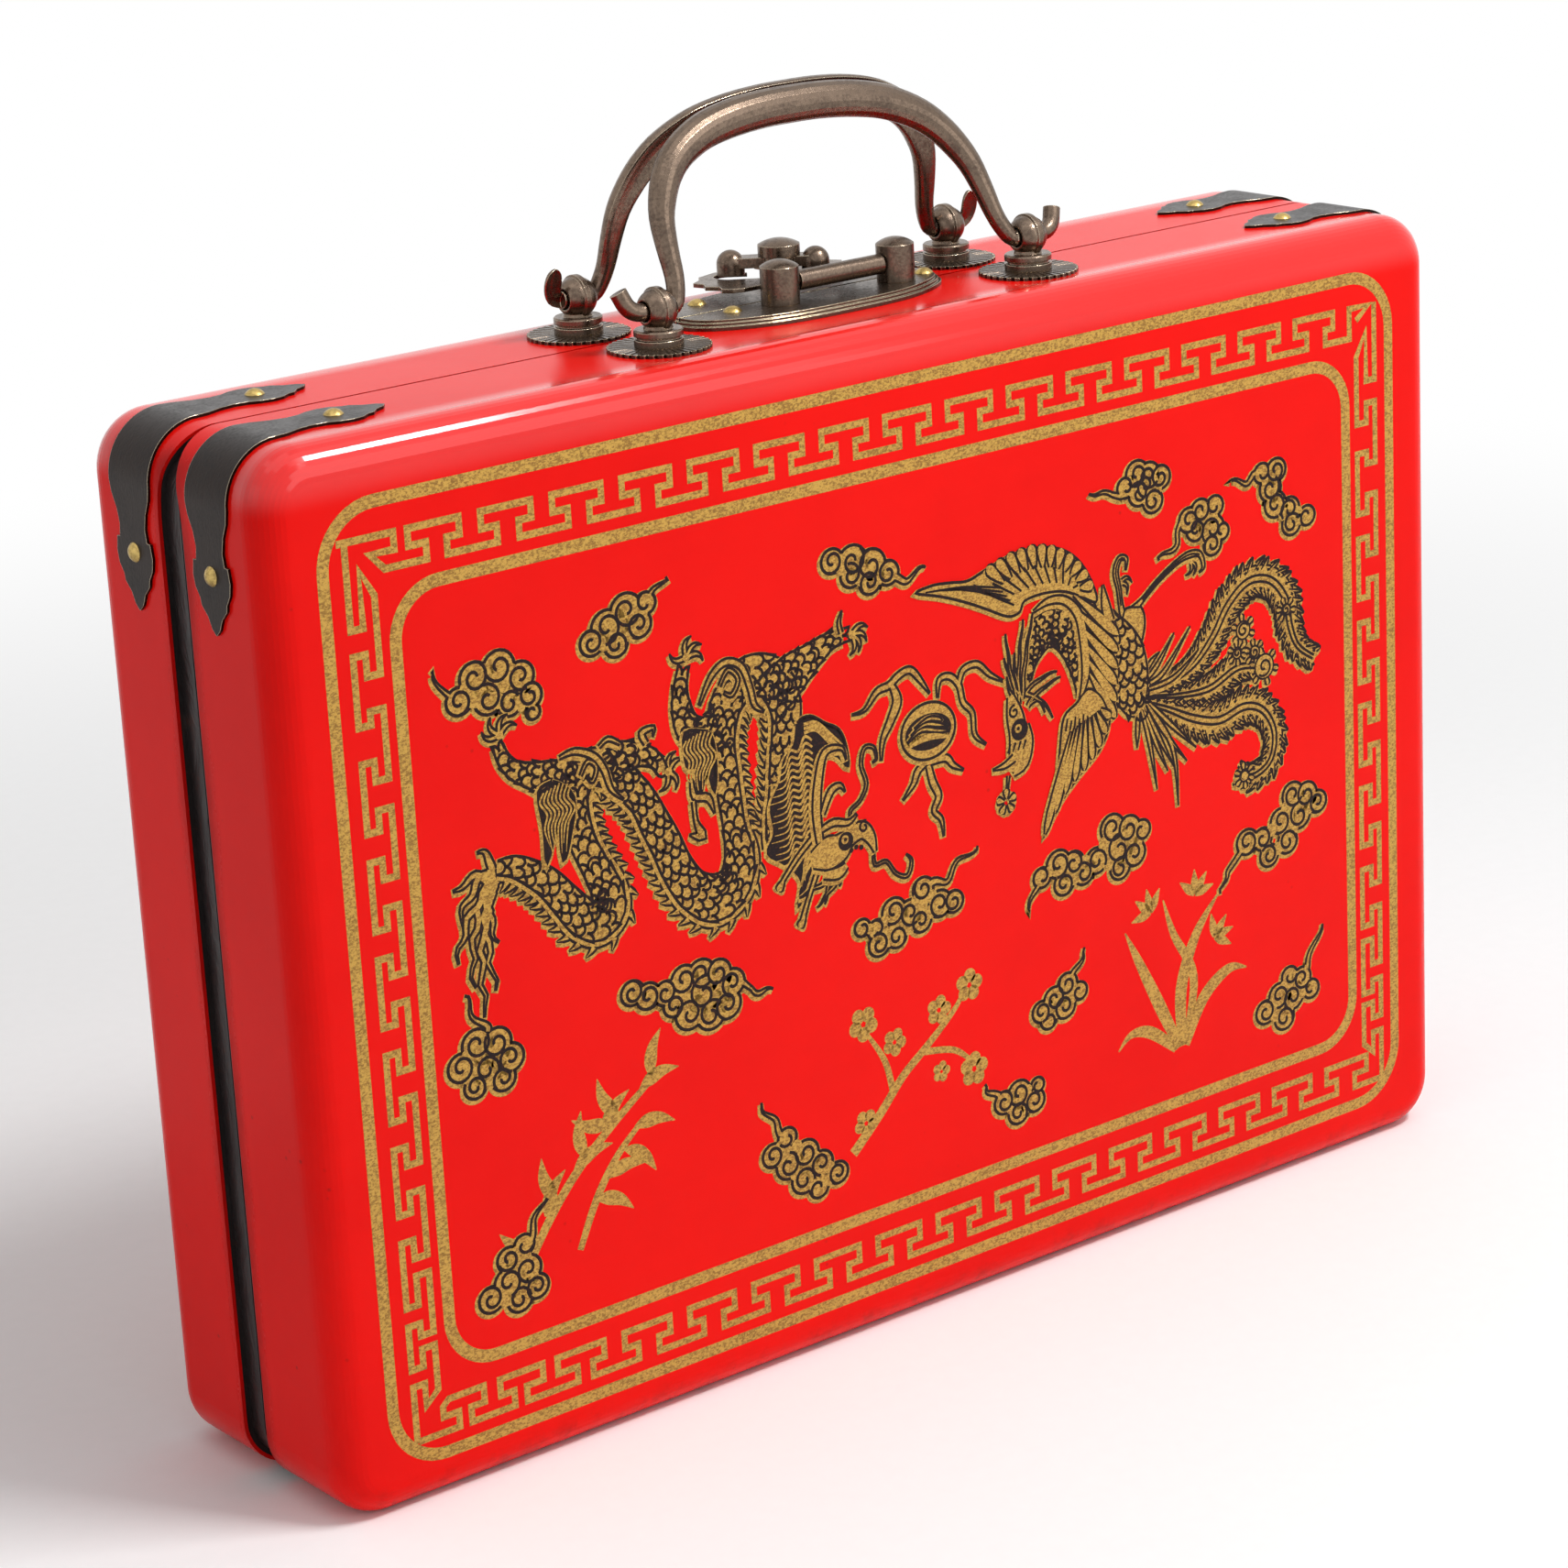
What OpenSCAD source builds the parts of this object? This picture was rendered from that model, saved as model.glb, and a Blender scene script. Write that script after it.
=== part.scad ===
// Flat lacquered carrying case for a tile set, standing on its long edge.
// Two half shells meet on the parting plane and are hinged along the bottom.
// Origin: middle of the bottom on the parting plane. X runs along the case,
// -Y is the front, +Z is up. All sizes in millimetres.

/* [Case] */
// Length of the case, end to end
case_l = 320; // [290:1:400]
// Height of the case as it stands
case_h = 225; // [200:1:280]
// Depth of the closed case, broad face to broad face
case_d = 66; // [60:1:90]
// Radius of the four corners seen from the front
corner_r = 12; // [11:0.5:18]
// Radius of the rounded edge round each broad face
edge_r = 7; // [5:0.5:8]
// Thickness of the lacquered cover
cover_t = 0.8; // [0.6:0.1:1.2]
// Thickness of the glue line between cover and wood
glue_t = 0.05; // [0.03:0.01:0.1]
// Thickness of the wooden rails
rail_t = 8; // [7:0.5:10]
// Thickness of the wooden panel behind each broad face
panel_t = 4; // [3:0.5:6]
// Gap between the rails of the closed halves
rim_gap = 0.3; // [0.2:0.1:0.6]

/* [Groove at the parting plane] */
// Width of the front half's share of the groove
front_groove = 3.8; // [3:0.1:5]
// Width of the rear half's share of the groove
rear_groove = 5.2; // [4:0.1:6]
// Depth of the groove
groove_depth = 2; // [1.9:0.1:2.5]
// Distance of the cover's edge from the parting plane along the top
top_line = 0.4; // [0.3:0.1:0.8]
// Height over which the groove narrows at the top corners
groove_fade = 20; // [14:1:30]

/* [Inside] */
// Thickness of the lining
lining_t = 0.8; // [0.6:0.1:1.5]
// Thickness of the dividers
divider_t = 4; // [3:0.5:6]
// Width of a tile bay, for two tiles side by side
bay_w = 61.5; // [50:0.5:64]
// Number of tile bays in each half
bay_count = 4; // [2:1:4]
// Distance of the dividers and the lining from the parting plane
inner_drop = 1.2; // [1:0.1:3]
// Clearance of the dividers in the lining
divider_fit = 0.15; // [0.1:0.05:0.3]

/* [Corner straps] */
// Distance of the straps from the parting plane, to their middle
strap_y = 14.5; // [13:0.5:17]
// Width of a strap round the corner
strap_w = 15; // [12:0.5:17]
// Width of a strap at its neck
neck_w = 9.6; // [7:0.2:11]
// Width of a strap at its nail
eye_w = 13.6; // [11:0.2:16]
// Thickness of a strap
strap_t = 0.7; // [0.5:0.1:1]
// Length of the strap on the top, from the corner's bend to the tip
top_reach = 30; // [26:1:36]
// Length of the strap on the side, from the corner's bend to the tip
side_reach = 26; // [23:1:34]
// Distance of each strap nail from the strap's tip
nail_back = 12; // [9:0.5:14]

/* [Nails] */
// Radius of a domed nail head
head_r = 2.1; // [1.6:0.1:2.6]
// Height of a domed nail head
head_h = 1.2; // [0.8:0.1:1.6]
// Radius of a nail shank
shank_r = 0.8; // [0.6:0.1:1.1]
// Depth of a nail in the rail
nail_depth = 6; // [4:0.5:7]
// Radial clearance of nails, screws and shanks in their holes
hole_fit = 0.05; // [0.03:0.01:0.1]

/* [Handles] */
// Distance of the lugs from the middle of the case
lug_x = 51; // [48:0.5:60]
// Distance of the front lugs from the parting plane
front_lug_y = 13.2; // [12.4:0.1:14.2]
// Distance of the rear lugs from the parting plane
rear_lug_y = 11.5; // [11.5:0.1:13.5]
// How far the front handle sits to the right of the middle
front_shift = 2; // [0:0.1:2.5]
// How far the rear handle sits to the left of the middle
rear_shift = 0.6; // [0:0.1:2]
// Height of the lugs' eyes above the top of the case
eye_h = 8.2; // [7.9:0.1:9.2]
// Radius of the balls
ball_r = 4.4; // [4.2:0.1:4.8]
// Width of the balls along the eyes
ball_w = 7; // [6:0.2:7.6]
// Radius of the rod that turns in the eyes
rod_r = 1.9; // [1.6:0.1:2.1]
// Radial clearance of the rod in the eyes
eye_fit = 0.35; // [0.3:0.05:0.6]
// Radius of the collars under the balls
collar_r = 5.2; // [4.9:0.1:5.8]
// Radius of the lugs' threaded shanks
lug_shank_r = 2; // [1.5:0.1:2.2]
// Depth of the lugs' shanks in the rails
lug_depth = 6.5; // [5:0.5:7]
// Radius of the scalloped washers
washer_r = 11; // [10:0.1:11.1]
// Thickness of the scalloped washers
washer_t = 0.8; // [0.5:0.1:1.2]
// Number of scallops round a washer
scallops = 36; // [26:1:42]
// Height of the handle's crown above its eyes, to its middle
arch_h = 37; // [32:0.2:44]
// Half width of the handle's legs, to their middle
leg_x = 43.2; // [40:0.2:44.2]
// Half thickness of the grip seen from the front
grip_r = 4.1; // [3.2:0.1:5]
// Bulge of the grip away from the other handle
grip_bulge = 3.8; // [3:0.1:5]
// Distance of the grip's flat side from the eyes' axis
flat_off = 1; // [0.8:0.1:1.6]
// Depth of the hollow in the grip's flat side
hollow = 1.6; // [0.8:0.1:2]
// Gap between the two handles at rest
handle_gap = 0.4; // [0.3:0.1:1]
// How far the front handle's crown is bent to the left
front_bend = 5.4; // [0:0.2:6]
// Radius of the bend in the handle's hooked ends
hook_r = 4; // [3.4:0.1:5]
// Length of the straight tip of the hooked ends
hook_tip = 2.4; // [1:0.2:4]
// Height of the flattened ends of the rear handle above the eyes
leaf_rise = 7.2; // [6:0.2:9]

/* [Latch] */
// Half length of the latch plates
plate_a = 35; // [33:0.5:36]
// Width of each latch plate
plate_b = 17; // [16:0.5:19]
// Thickness of the latch plates
plate_t = 0.9; // [0.8:0.1:1.1]
// Rise of the latch plates' raised field above their rim
field_rise = 1.3; // [0.8:0.1:1.4]
// Distance of the posts from the parting plane
post_y = 5; // [4.8:0.1:6]
// Place of the left post along the case
post_x1 = -10.2; // [-10.8:0.1:-9.6]
// Place of the right post along the case
post_x2 = 21.9; // [21.5:0.1:22.6]
// Radius of the posts
post_r = 4.2; // [3.8:0.1:4.3]
// Height of the posts above the top of the case
post_h = 11.8; // [11.2:0.1:12.4]
// Height of the hasp's axis above the top of the case
hasp_z = 6.4; // [6.3:0.1:6.6]
// Radius of the hasp's barrel
barrel_r = 2.2; // [2.1:0.05:2.3]
// Radius of the hasp's pin
pin_r = 1.2; // [1:0.1:1.3]
// Radial clearance of the hasp on its pin
pin_fit = 0.08; // [0.05:0.01:0.1]
// Underside of the hasp above the top of the case
hasp_low = 4.5; // [4.4:0.1:4.6]
// Thickness of the hasp's plate
hasp_t = 0.9; // [0.7:0.1:1]
// Distance of the turning catch from the parting plane
catch_y = 7.8; // [7.7:0.1:8.2]
// Distance of the catch's rear domed end from its spindle
long_arm = 10.6; // [10.2:0.1:10.8]
// Distance of the catch's front domed end from its spindle
short_arm = 7.8; // [7.6:0.1:8.2]
// Angle of the turning catch at rest, seen from above
catch_angle = -39; // [-42:1:-36]
// Radius of the domed ends
dome_r = 3.05; // [2.9:0.05:3.2]
// Underside of the turning catch above the top of the case
catch_low = 5.8; // [5.7:0.1:5.9]
// Height of the knob's top above the top of the case
knob_top = 13.4; // [13:0.1:14]
// Radius of the knob
knob_r = 4.6; // [4.4:0.05:4.8]
// Radius of the spindle that the catch turns on
spindle_r = 2; // [1.6:0.1:2.3]

/* [Hinges] */
// Distance of each hinge from the middle of the case
hinge_x = 100; // [80:1:110]
// Length of a hinge
hinge_l = 36; // [28:1:44]
// Height of the hinge axis above the bottom of the case
hinge_z = 1.7; // [1.7:0.05:1.8]
// Radius of the knuckles
knuckle_r = 1.6; // [1.5:0.05:1.65]
// Radius of the hinge pins
hinge_pin_r = 0.9; // [0.8:0.05:1]
// Height of the leaves above the hinge axis
leaf_h = 7; // [6:0.5:8]
// Thickness of the leaves
leaf_t = 0.9; // [0.8:0.1:1.2]
// Gap between neighbouring knuckles
knuckle_gap = 0.3; // [0.2:0.05:0.5]

/* [Hidden] */
$fn = 48;
arc_n = 10;

red = [0.82, 0.12, 0.10];
timber = [0.70, 0.55, 0.38];
black = [0.10, 0.08, 0.08];
bronze = [0.33, 0.27, 0.20];
dark_bronze = [0.22, 0.19, 0.16];
brass = [0.72, 0.60, 0.34];

half_l = case_l / 2;
half_d = case_d / 2;
corner_x = half_l - corner_r;
corner_z = case_h / 2 - corner_r;
wood_in = cover_t + glue_t;
wood_d = half_d - wood_in;
inner_in = wood_in + rail_t;
panel_r = corner_r - edge_r - 0.5;
floor_d = wood_d - panel_t;
lining_in = inner_in + glue_t;
lining_l = case_l - 2 * lining_in;
lining_h = case_h - 2 * lining_in;
bay_l = lining_l - 2 * lining_t;
bay_h = lining_h - 2 * lining_t;
divider_d = floor_d - glue_t - lining_t - divider_fit - inner_drop;
bar_t = 2.2;
bar_w = 4.8;
bar_lift = 1.6;
dome_low_h = 2.4;
hub_r = knob_r - 0.5;
stud_r = 2.8;
seat = 0.05;
catch_fit = 0.08;
rail_top = case_h - wood_in;
plate_top = plate_t + field_rise;

function arc(cx, cy, r, a0, a1, n) =
    [for (i = [0:n]) let (a = a0 + (a1 - a0) * i / n) [cx + r * cos(a), cy + r * sin(a)]];

// A half shell is drawn lying down: X along the case, Y up its height from the middle,
// Z the depth from the parting plane. These two stand it up.
module front_half() {
    translate([0, 0, case_h / 2]) rotate([90, 0, 0]) children();
}
module rear_half() {
    mirror([0, 1, 0]) front_half() children();
}

// Sweeps a section round the case's outline. The section's x counts outward from the
// corner centres and its y is the depth.
module sweep_round() {
    for (sx = [0, 1], sy = [0, 1])
        mirror([sx, 0, 0]) mirror([0, sy, 0])
            translate([corner_x, corner_z, 0]) rotate_extrude(angle = 90) children();
    for (sx = [0, 1])
        mirror([sx, 0, 0]) translate([corner_x, corner_z, 0])
            rotate([90, 0, 0]) linear_extrude(2 * corner_z) children();
    for (sy = [0, 1])
        mirror([0, sy, 0]) translate([-corner_x, corner_z, 0])
            rotate([90, 0, 90]) linear_extrude(2 * corner_x) children();
}

// The half shell's outer form, set in by inset from the surface, from depth d0 outward
module block(inset, d0) {
    r = corner_r - inset;
    e = edge_r - inset;
    d1 = half_d - inset;
    sweep_round()
        polygon(concat([[0, d0], [r, d0]], arc(r - e, d1 - e, e, 0, 90, arc_n), [[0, d1]]));
    translate([-corner_x, -corner_z, d0]) cube([2 * corner_x, 2 * corner_z, d1 - d0]);
}

// A plate with the case's rounded outline, r beyond the corner centres
module plate(r, d0, d1) {
    sweep_round() translate([0, d0]) square([r, d1 - d0]);
    translate([-corner_x, -corner_z, d0]) cube([2 * corner_x, 2 * corner_z, d1 - d0]);
}

// Half width of the groove by height, in the standing case
function groove_side(g) = concat(
    [[0, -case_h], [g, -case_h], [g, case_h / 2 - groove_fade]],
    [for (i = [1:8]) [top_line + (g - top_line) * cos(90 * i / 8),
                      case_h / 2 - groove_fade * (1 - i / 8)]],
    [[top_line, case_h], [0, case_h]]);

// The band removed round the rim for a groove of width g
module groove_band(g) {
    intersection() {
        sweep_round() translate([corner_r - groove_depth, -1]) square([groove_depth + 1, g + 2]);
        translate([half_l + 1, 0, 0]) rotate([0, -90, 0]) linear_extrude(case_l + 2)
            polygon([for (p = groove_side(g)) [p[0], p[1]]]);
    }
}

// Where nails and shanks go into the top and the sides, in the standing case
nail_top_x = half_l - corner_r - top_reach + nail_back;
nail_side_z = case_h - corner_r - side_reach + nail_back;
latch_nails = [[-22, 3.4], [31, 3.6]];
rear_latch_nails = [[-22, 9], [31, 4]];
leaf_screws = [-12, 0, 12];
screw_r = 0.9;
screw_head_r = 1.6;
screw_head_t = 0.45;
screw_l = 6;
screw_z = hinge_z + leaf_h - 2.4;

// Place of the left (s = -1) or right (s = 1) lug; k = 1 front, -1 rear
function lug_place(k, s) =
    k > 0 ? [front_shift + s * lug_x, -front_lug_y] : [-rear_shift + s * lug_x, rear_lug_y];

// Holes in the cover and the rails of the front half; k = 1 front, -1 rear
module shell_holes(k, nails) {
    strap_nail_places(k) cylinder(r = shank_r + hole_fit, h = 2 * (nail_depth + 1), center = true);
    for (s = [-1, 1])
        translate([lug_place(k, s)[0], lug_place(k, s)[1], rail_top - lug_depth - seat])
            cylinder(r = lug_shank_r + hole_fit, h = lug_depth + 3);
    for (p = nails)
        translate([p[0], -k * p[1], rail_top - nail_depth - seat])
            cylinder(r = shank_r + hole_fit, h = nail_depth + 3);
}
module strap_nail_places(k) {
    for (s = [-1, 1]) {
        translate([s * nail_top_x, -k * strap_y, rail_top - seat]) children();
        translate([s * (half_l - wood_in - seat), -k * strap_y, nail_side_z])
            rotate([0, s * 90, 0]) children();
    }
}
module post_holes() {
    for (x = [post_x1, post_x2])
        translate([x, -post_y, rail_top - nail_depth - seat])
            cylinder(r = lug_shank_r + hole_fit, h = nail_depth + 3);
}
module stud_hole() {
    translate([0, catch_y, rail_top - nail_depth - seat])
        cylinder(r = lug_shank_r + hole_fit, h = nail_depth + 3);
}

module cover(g) {
    difference() {
        block(0, top_line);
        block(cover_t, -1);
        groove_band(g);
    }
}
module front_cover() color(red) difference() {
    front_half() cover(front_groove);
    shell_holes(1, latch_nails);
    post_holes();
}
module rear_cover() color(red) difference() {
    rear_half() cover(rear_groove);
    shell_holes(-1, rear_latch_nails);
    stud_hole();
}

module panel() plate(panel_r - glue_t, floor_d + glue_t, wood_d);
module front_panel() color(timber) front_half() panel();
module rear_panel() color(timber) rear_half() panel();

// The whole wooden frame of a half, later sawn into its four rails
module frame(g) {
    difference() {
        block(wood_in, rim_gap / 2);
        groove_band(g);
        translate([-half_l + inner_in, -case_h / 2 + inner_in, -1])
            cube([case_l - 2 * inner_in, case_h - 2 * inner_in, case_d]);
        plate(panel_r, floor_d, case_d);
    }
}
// Mortises for the hinges, in the standing case; k = 1 front, -1 rear
module hinge_mortises(k) {
    for (s = [-1, 1]) translate([s * hinge_x, 0, hinge_z]) {
        rotate([0, 90, 0])
            cylinder(r = knuckle_r + 0.4, h = hinge_l + 2 * knuckle_gap, center = true);
        translate([-hinge_l / 2 - hole_fit, k > 0 ? -rim_gap / 2 - leaf_t - hole_fit : 0, -1])
            cube([hinge_l + 2 * hole_fit, rim_gap / 2 + leaf_t + hole_fit, leaf_h + hole_fit + 1]);
        for (x = leaf_screws)
            translate([x, 0, screw_z - hinge_z]) rotate([k * 90, 0, 0])
                cylinder(r = screw_r + hole_fit, h = screw_l + rim_gap / 2 + seat);
    }
}
module top_rail(k, g, nails) {
    difference() {
        intersection() {
            if (k > 0) front_half() frame(g); else rear_half() frame(g);
            translate([-case_l, -case_d, case_h - corner_r]) cube([2 * case_l, 2 * case_d, case_h]);
        }
        shell_holes(k, nails);
        if (k > 0) post_holes(); else stud_hole();
    }
}
module bottom_rail(k, g) {
    difference() {
        intersection() {
            if (k > 0) front_half() frame(g); else rear_half() frame(g);
            translate([-case_l, -case_d, -case_h]) cube([2 * case_l, 2 * case_d, case_h + corner_r]);
        }
        hinge_mortises(k);
    }
}
module side_rails(k, g) {
    difference() {
        intersection() {
            if (k > 0) front_half() frame(g); else rear_half() frame(g);
            translate([-case_l, -case_d, corner_r])
                cube([2 * case_l, 2 * case_d, case_h - 2 * corner_r]);
        }
        strap_nail_places(k)
            cylinder(r = shank_r + hole_fit, h = 2 * (nail_depth + 1), center = true);
    }
}
module front_top_rail() color(timber) top_rail(1, front_groove, latch_nails);
module rear_top_rail() color(timber) top_rail(-1, rear_groove, rear_latch_nails);
module front_bottom_rail() color(timber) bottom_rail(1, front_groove);
module rear_bottom_rail() color(timber) bottom_rail(-1, rear_groove);
module front_side_rails() color(timber) side_rails(1, front_groove);
module rear_side_rails() color(timber) side_rails(-1, rear_groove);

module lining() {
    d1 = floor_d - glue_t;
    difference() {
        translate([-lining_l / 2, -lining_h / 2, inner_drop])
            cube([lining_l, lining_h, d1 - inner_drop]);
        translate([-bay_l / 2, -bay_h / 2, -1]) cube([bay_l, bay_h, d1 - lining_t + 1]);
    }
}
module front_lining() color(black) front_half() lining();
module rear_lining() color(black) rear_half() lining();

module dividers() {
    for (i = [1:bay_count])
        translate([-bay_l / 2 + i * bay_w + (i - 1) * divider_t, -bay_h / 2 + divider_fit, inner_drop])
            cube([divider_t, bay_h - 2 * divider_fit, divider_d]);
}
module front_dividers() color(black) front_half() dividers();
module rear_dividers() color(black) rear_half() dividers();

// Half widths of a strap's arm along its length, from the bend to the tip
function strap_side(reach) = [
    [0, strap_w / 2], [0.1 * reach, strap_w / 2 - 0.5], [0.22 * reach, neck_w / 2 + 0.7],
    [0.34 * reach, neck_w / 2], [0.44 * reach, neck_w / 2 + 0.4],
    [reach - nail_back - 2.5, eye_w / 2 - 0.5], [reach - nail_back + 0.5, eye_w / 2],
    [reach - nail_back + 3, eye_w / 2 - 0.5], [reach - nail_back + 5, eye_w / 2 - 1.9],
    [reach - 5.5, eye_w / 2 - 2.2], [reach - 3.6, eye_w / 2 - 4.2], [reach - 1.2, 1.4]];
module strap_arm(reach) {
    side = strap_side(reach);
    last = len(side) - 1;
    difference() {
        linear_extrude(strap_t)
            polygon(concat([for (p = side) [p[0], p[1]]], [[reach, 0]],
                           [for (i = [last:-1:0]) [side[i][0], -side[i][1]]]));
        translate([reach - nail_back, 0, -1]) cylinder(r = shank_r + hole_fit, h = strap_t + 2);
    }
}
// A strap over the right-hand corner, its middle on y = 0
module strap() {
    translate([half_l - corner_r, 0, case_h]) mirror([1, 0, 0]) strap_arm(top_reach);
    translate([half_l, 0, case_h - corner_r]) rotate([0, 90, 0]) strap_arm(side_reach);
    translate([half_l - corner_r, strap_w / 2, case_h - corner_r]) rotate([90, 0, 0])
        rotate_extrude(angle = 90) translate([corner_r, 0]) square([strap_t, strap_w]);
}
module front_right_strap() color(dark_bronze) translate([0, -strap_y, 0]) strap();
module front_left_strap() color(dark_bronze) mirror([1, 0, 0]) translate([0, -strap_y, 0]) strap();
module rear_right_strap() color(dark_bronze) translate([0, strap_y, 0]) strap();
module rear_left_strap() color(dark_bronze) mirror([1, 0, 0]) translate([0, strap_y, 0]) strap();

// A domed nail: its head sits on z = 0, its shank goes down by depth
module nail(depth) {
    dome = (head_r * head_r + head_h * head_h) / (2 * head_h);
    intersection() {
        translate([0, 0, head_h - dome]) sphere(r = dome);
        cylinder(r = head_r, h = head_h + 1);
    }
    translate([0, 0, -depth]) cylinder(r = shank_r, h = depth + 0.2);
}
module strap_nails(k) {
    lift = wood_in + seat + strap_t;
    color(brass) strap_nail_places(k) translate([0, 0, lift]) nail(lift + nail_depth);
}
module front_strap_nails() strap_nails(1);
module rear_strap_nails() strap_nails(-1);

// A lug: shank, stepped collar and a flattened ball with an eye along X
eye_r = rod_r + eye_fit;
lug_bead = 0.4;
module lug() {
    foot = eye_h - ball_r + 0.5;
    step = (foot - washer_t) / 5;
    flat_a = acos(ball_w / 2 / ball_r);
    bead_a = asin(0.9 / ball_r);
    half = concat([[eye_r, ball_w / 2]], arc(0, 0, ball_r, 90 - flat_a, bead_a, 7),
                  [[ball_r + lug_bead, 0.6], [ball_r + lug_bead, 0]]);
    last = len(half) - 1;
    difference() {
        union() {
            rotate_extrude() polygon([
                [0, -wood_in - lug_depth], [lug_shank_r, -wood_in - lug_depth],
                [lug_shank_r, washer_t], [collar_r, washer_t],
                [collar_r, washer_t + 2 * step], [collar_r - 0.6, washer_t + 2.2 * step],
                [collar_r - 0.6, washer_t + 2.8 * step], [collar_r, washer_t + 3 * step],
                [collar_r, foot - 0.3], [collar_r - 0.3, foot], [ball_r - 1.2, foot],
                [ball_r - 1.6, eye_h - eye_r - 0.6], [0, eye_h - eye_r - 0.6]]);
            translate([0, 0, eye_h]) rotate([0, 90, 0]) rotate_extrude() polygon(
                concat(half, [for (i = [last - 1:-1:0]) [half[i][0], -half[i][1]]]));
        }
        translate([0, 0, eye_h]) rotate([0, 90, 0])
            cylinder(r = eye_r, h = 4 * ball_r, center = true);
    }
}
module at_lug(k, s)
    translate([lug_place(k, s)[0], lug_place(k, s)[1], case_h]) children();
module front_left_lug() color(bronze) at_lug(1, -1) lug();
module front_right_lug() color(bronze) at_lug(1, 1) lug();
module rear_left_lug() color(bronze) at_lug(-1, -1) lug();
module rear_right_lug() color(bronze) at_lug(-1, 1) lug();

module washer() {
    notch = PI * washer_r / scallops * 0.7;
    linear_extrude(washer_t) difference() {
        circle(r = washer_r);
        for (i = [0:scallops - 1]) rotate(360 * i / scallops)
            translate([washer_r + notch * 0.45, 0]) circle(r = notch, $fn = 16);
        circle(r = lug_shank_r + hole_fit);
    }
}
module front_left_washer() color(dark_bronze) at_lug(1, -1) washer();
module front_right_washer() color(dark_bronze) at_lug(1, 1) washer();
module rear_left_washer() color(dark_bronze) at_lug(-1, -1) washer();
module rear_right_washer() color(dark_bronze) at_lug(-1, 1) washer();

// The handle's middle line from its right foot to the middle of the crown, as
// [x, height], and how full the grip is there, from 0 at the rod to 1 at the crown
foot_x = lug_x - ball_w / 2 - 0.6;
arch_side = [
    [foot_x + 2, 0, 0], [foot_x - 0.2, 0.1, 0], [leg_x + 2.1, 2, 0.05], [leg_x + 0.8, 6, 0.12],
    [leg_x, 12, 0.28], [leg_x - 1.2, 18, 0.45], [leg_x - 3.5, arch_h - 14.2, 0.6],
    [leg_x - 6.4, arch_h - 10.2, 0.7], [leg_x - 10.2, arch_h - 6.8, 0.8],
    [leg_x - 15.2, arch_h - 4.1, 0.88], [leg_x - 20.5, arch_h - 2.2, 0.95],
    [leg_x - 28, arch_h - 0.8, 1], [leg_x - 36, arch_h - 0.1, 1], [0, arch_h, 1]];
arch_steps = 3;
ring_n = 20;
hook_a = 70;
// A smooth curve through the points, at stretch i and share t of it
function curve_at(p, i, t) =
    let (a = p[max(i - 1, 0)], b = p[i], c = p[i + 1], d = p[min(i + 2, len(p) - 1)])
    0.5 * (2 * b + (c - a) * t + (2 * a - 5 * b + 4 * c - d) * t * t
           + (3 * b - a - 3 * c + d) * t * t * t);
function smooth_line(p, steps) = concat(
    [for (i = [0:len(p) - 2], k = [0:steps - 1]) curve_at(p, i, k / steps)], [p[len(p) - 1]]);
function unit(v) = v / norm(v);
// The grip's section: v across the arch, w away from the other handle
function grip_section(full) =
    let (v = rod_r - 0.05 + (grip_r - rod_r) * full,
         bulge = rod_r - 0.05 + (grip_bulge - rod_r) * full,
         back = (rod_r - 0.05) * (1 - full) + flat_off * full,
         dip = hollow * full * full)
    [for (j = [0:ring_n - 1]) let (a = 360 * j / ring_n, s = sin(a))
        s >= 0 ? [v * cos(a), bulge * s]
               : [v * cos(a), -back * pow(-s, 1 - 0.75 * full) + dip * s * s * s * s]];
// A body along a line of [x, height], with a section at each of its points
module swept(line, sections) {
    n = len(line);
    points = [for (i = [0:n - 1])
        let (p = line[i],
             q = unit([line[min(i + 1, n - 1)][0] - line[max(i - 1, 0)][0],
                       line[min(i + 1, n - 1)][1] - line[max(i - 1, 0)][1]]))
        for (s = sections[i]) [p[0] + q[1] * s[0], -s[1], p[1] - q[0] * s[0]]];
    sides = [for (i = [0:n - 2], j = [0:ring_n - 1])
        let (a = i * ring_n + j, b = i * ring_n + (j + 1) % ring_n)
        [a, b, b + ring_n, a + ring_n]];
    polyhedron(points, concat(sides,
        [[for (j = [ring_n - 1:-1:0]) j]],
        [[for (j = [0:ring_n - 1]) (n - 1) * ring_n + j]]), convexity = 6);
}
// The arch, its crown bent to the left by bend
module arch(bend) {
    far = [for (i = [len(arch_side) - 2:-1:0]) [-arch_side[i][0], arch_side[i][1], arch_side[i][2]]];
    line = [for (p = smooth_line(concat(arch_side, far), arch_steps))
        [p[0] - bend * p[1] / arch_h, p[1], p[2]]];
    swept(line, [for (p = line) grip_section(p[2])]);
}
// The rod through the right-hand eye
rod_out = lug_x + ball_w / 2 + 0.6;
module eye_rod()
    translate([foot_x, 0, 0]) rotate([0, 90, 0]) cylinder(r = rod_r, h = rod_out - foot_x);
// The front handle's end: round, bent up outside the eye
module hooked_end() {
    translate([rod_out, 0, hook_r]) rotate([90, 0, 0]) rotate([0, 0, -90])
        rotate_extrude(angle = hook_a) translate([hook_r, 0]) circle(r = rod_r);
    translate([rod_out, 0, hook_r]) rotate([0, -hook_a, 0]) translate([0, 0, -hook_r])
        rotate([0, 90, 0]) cylinder(r = rod_r, h = hook_tip);
}
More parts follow.
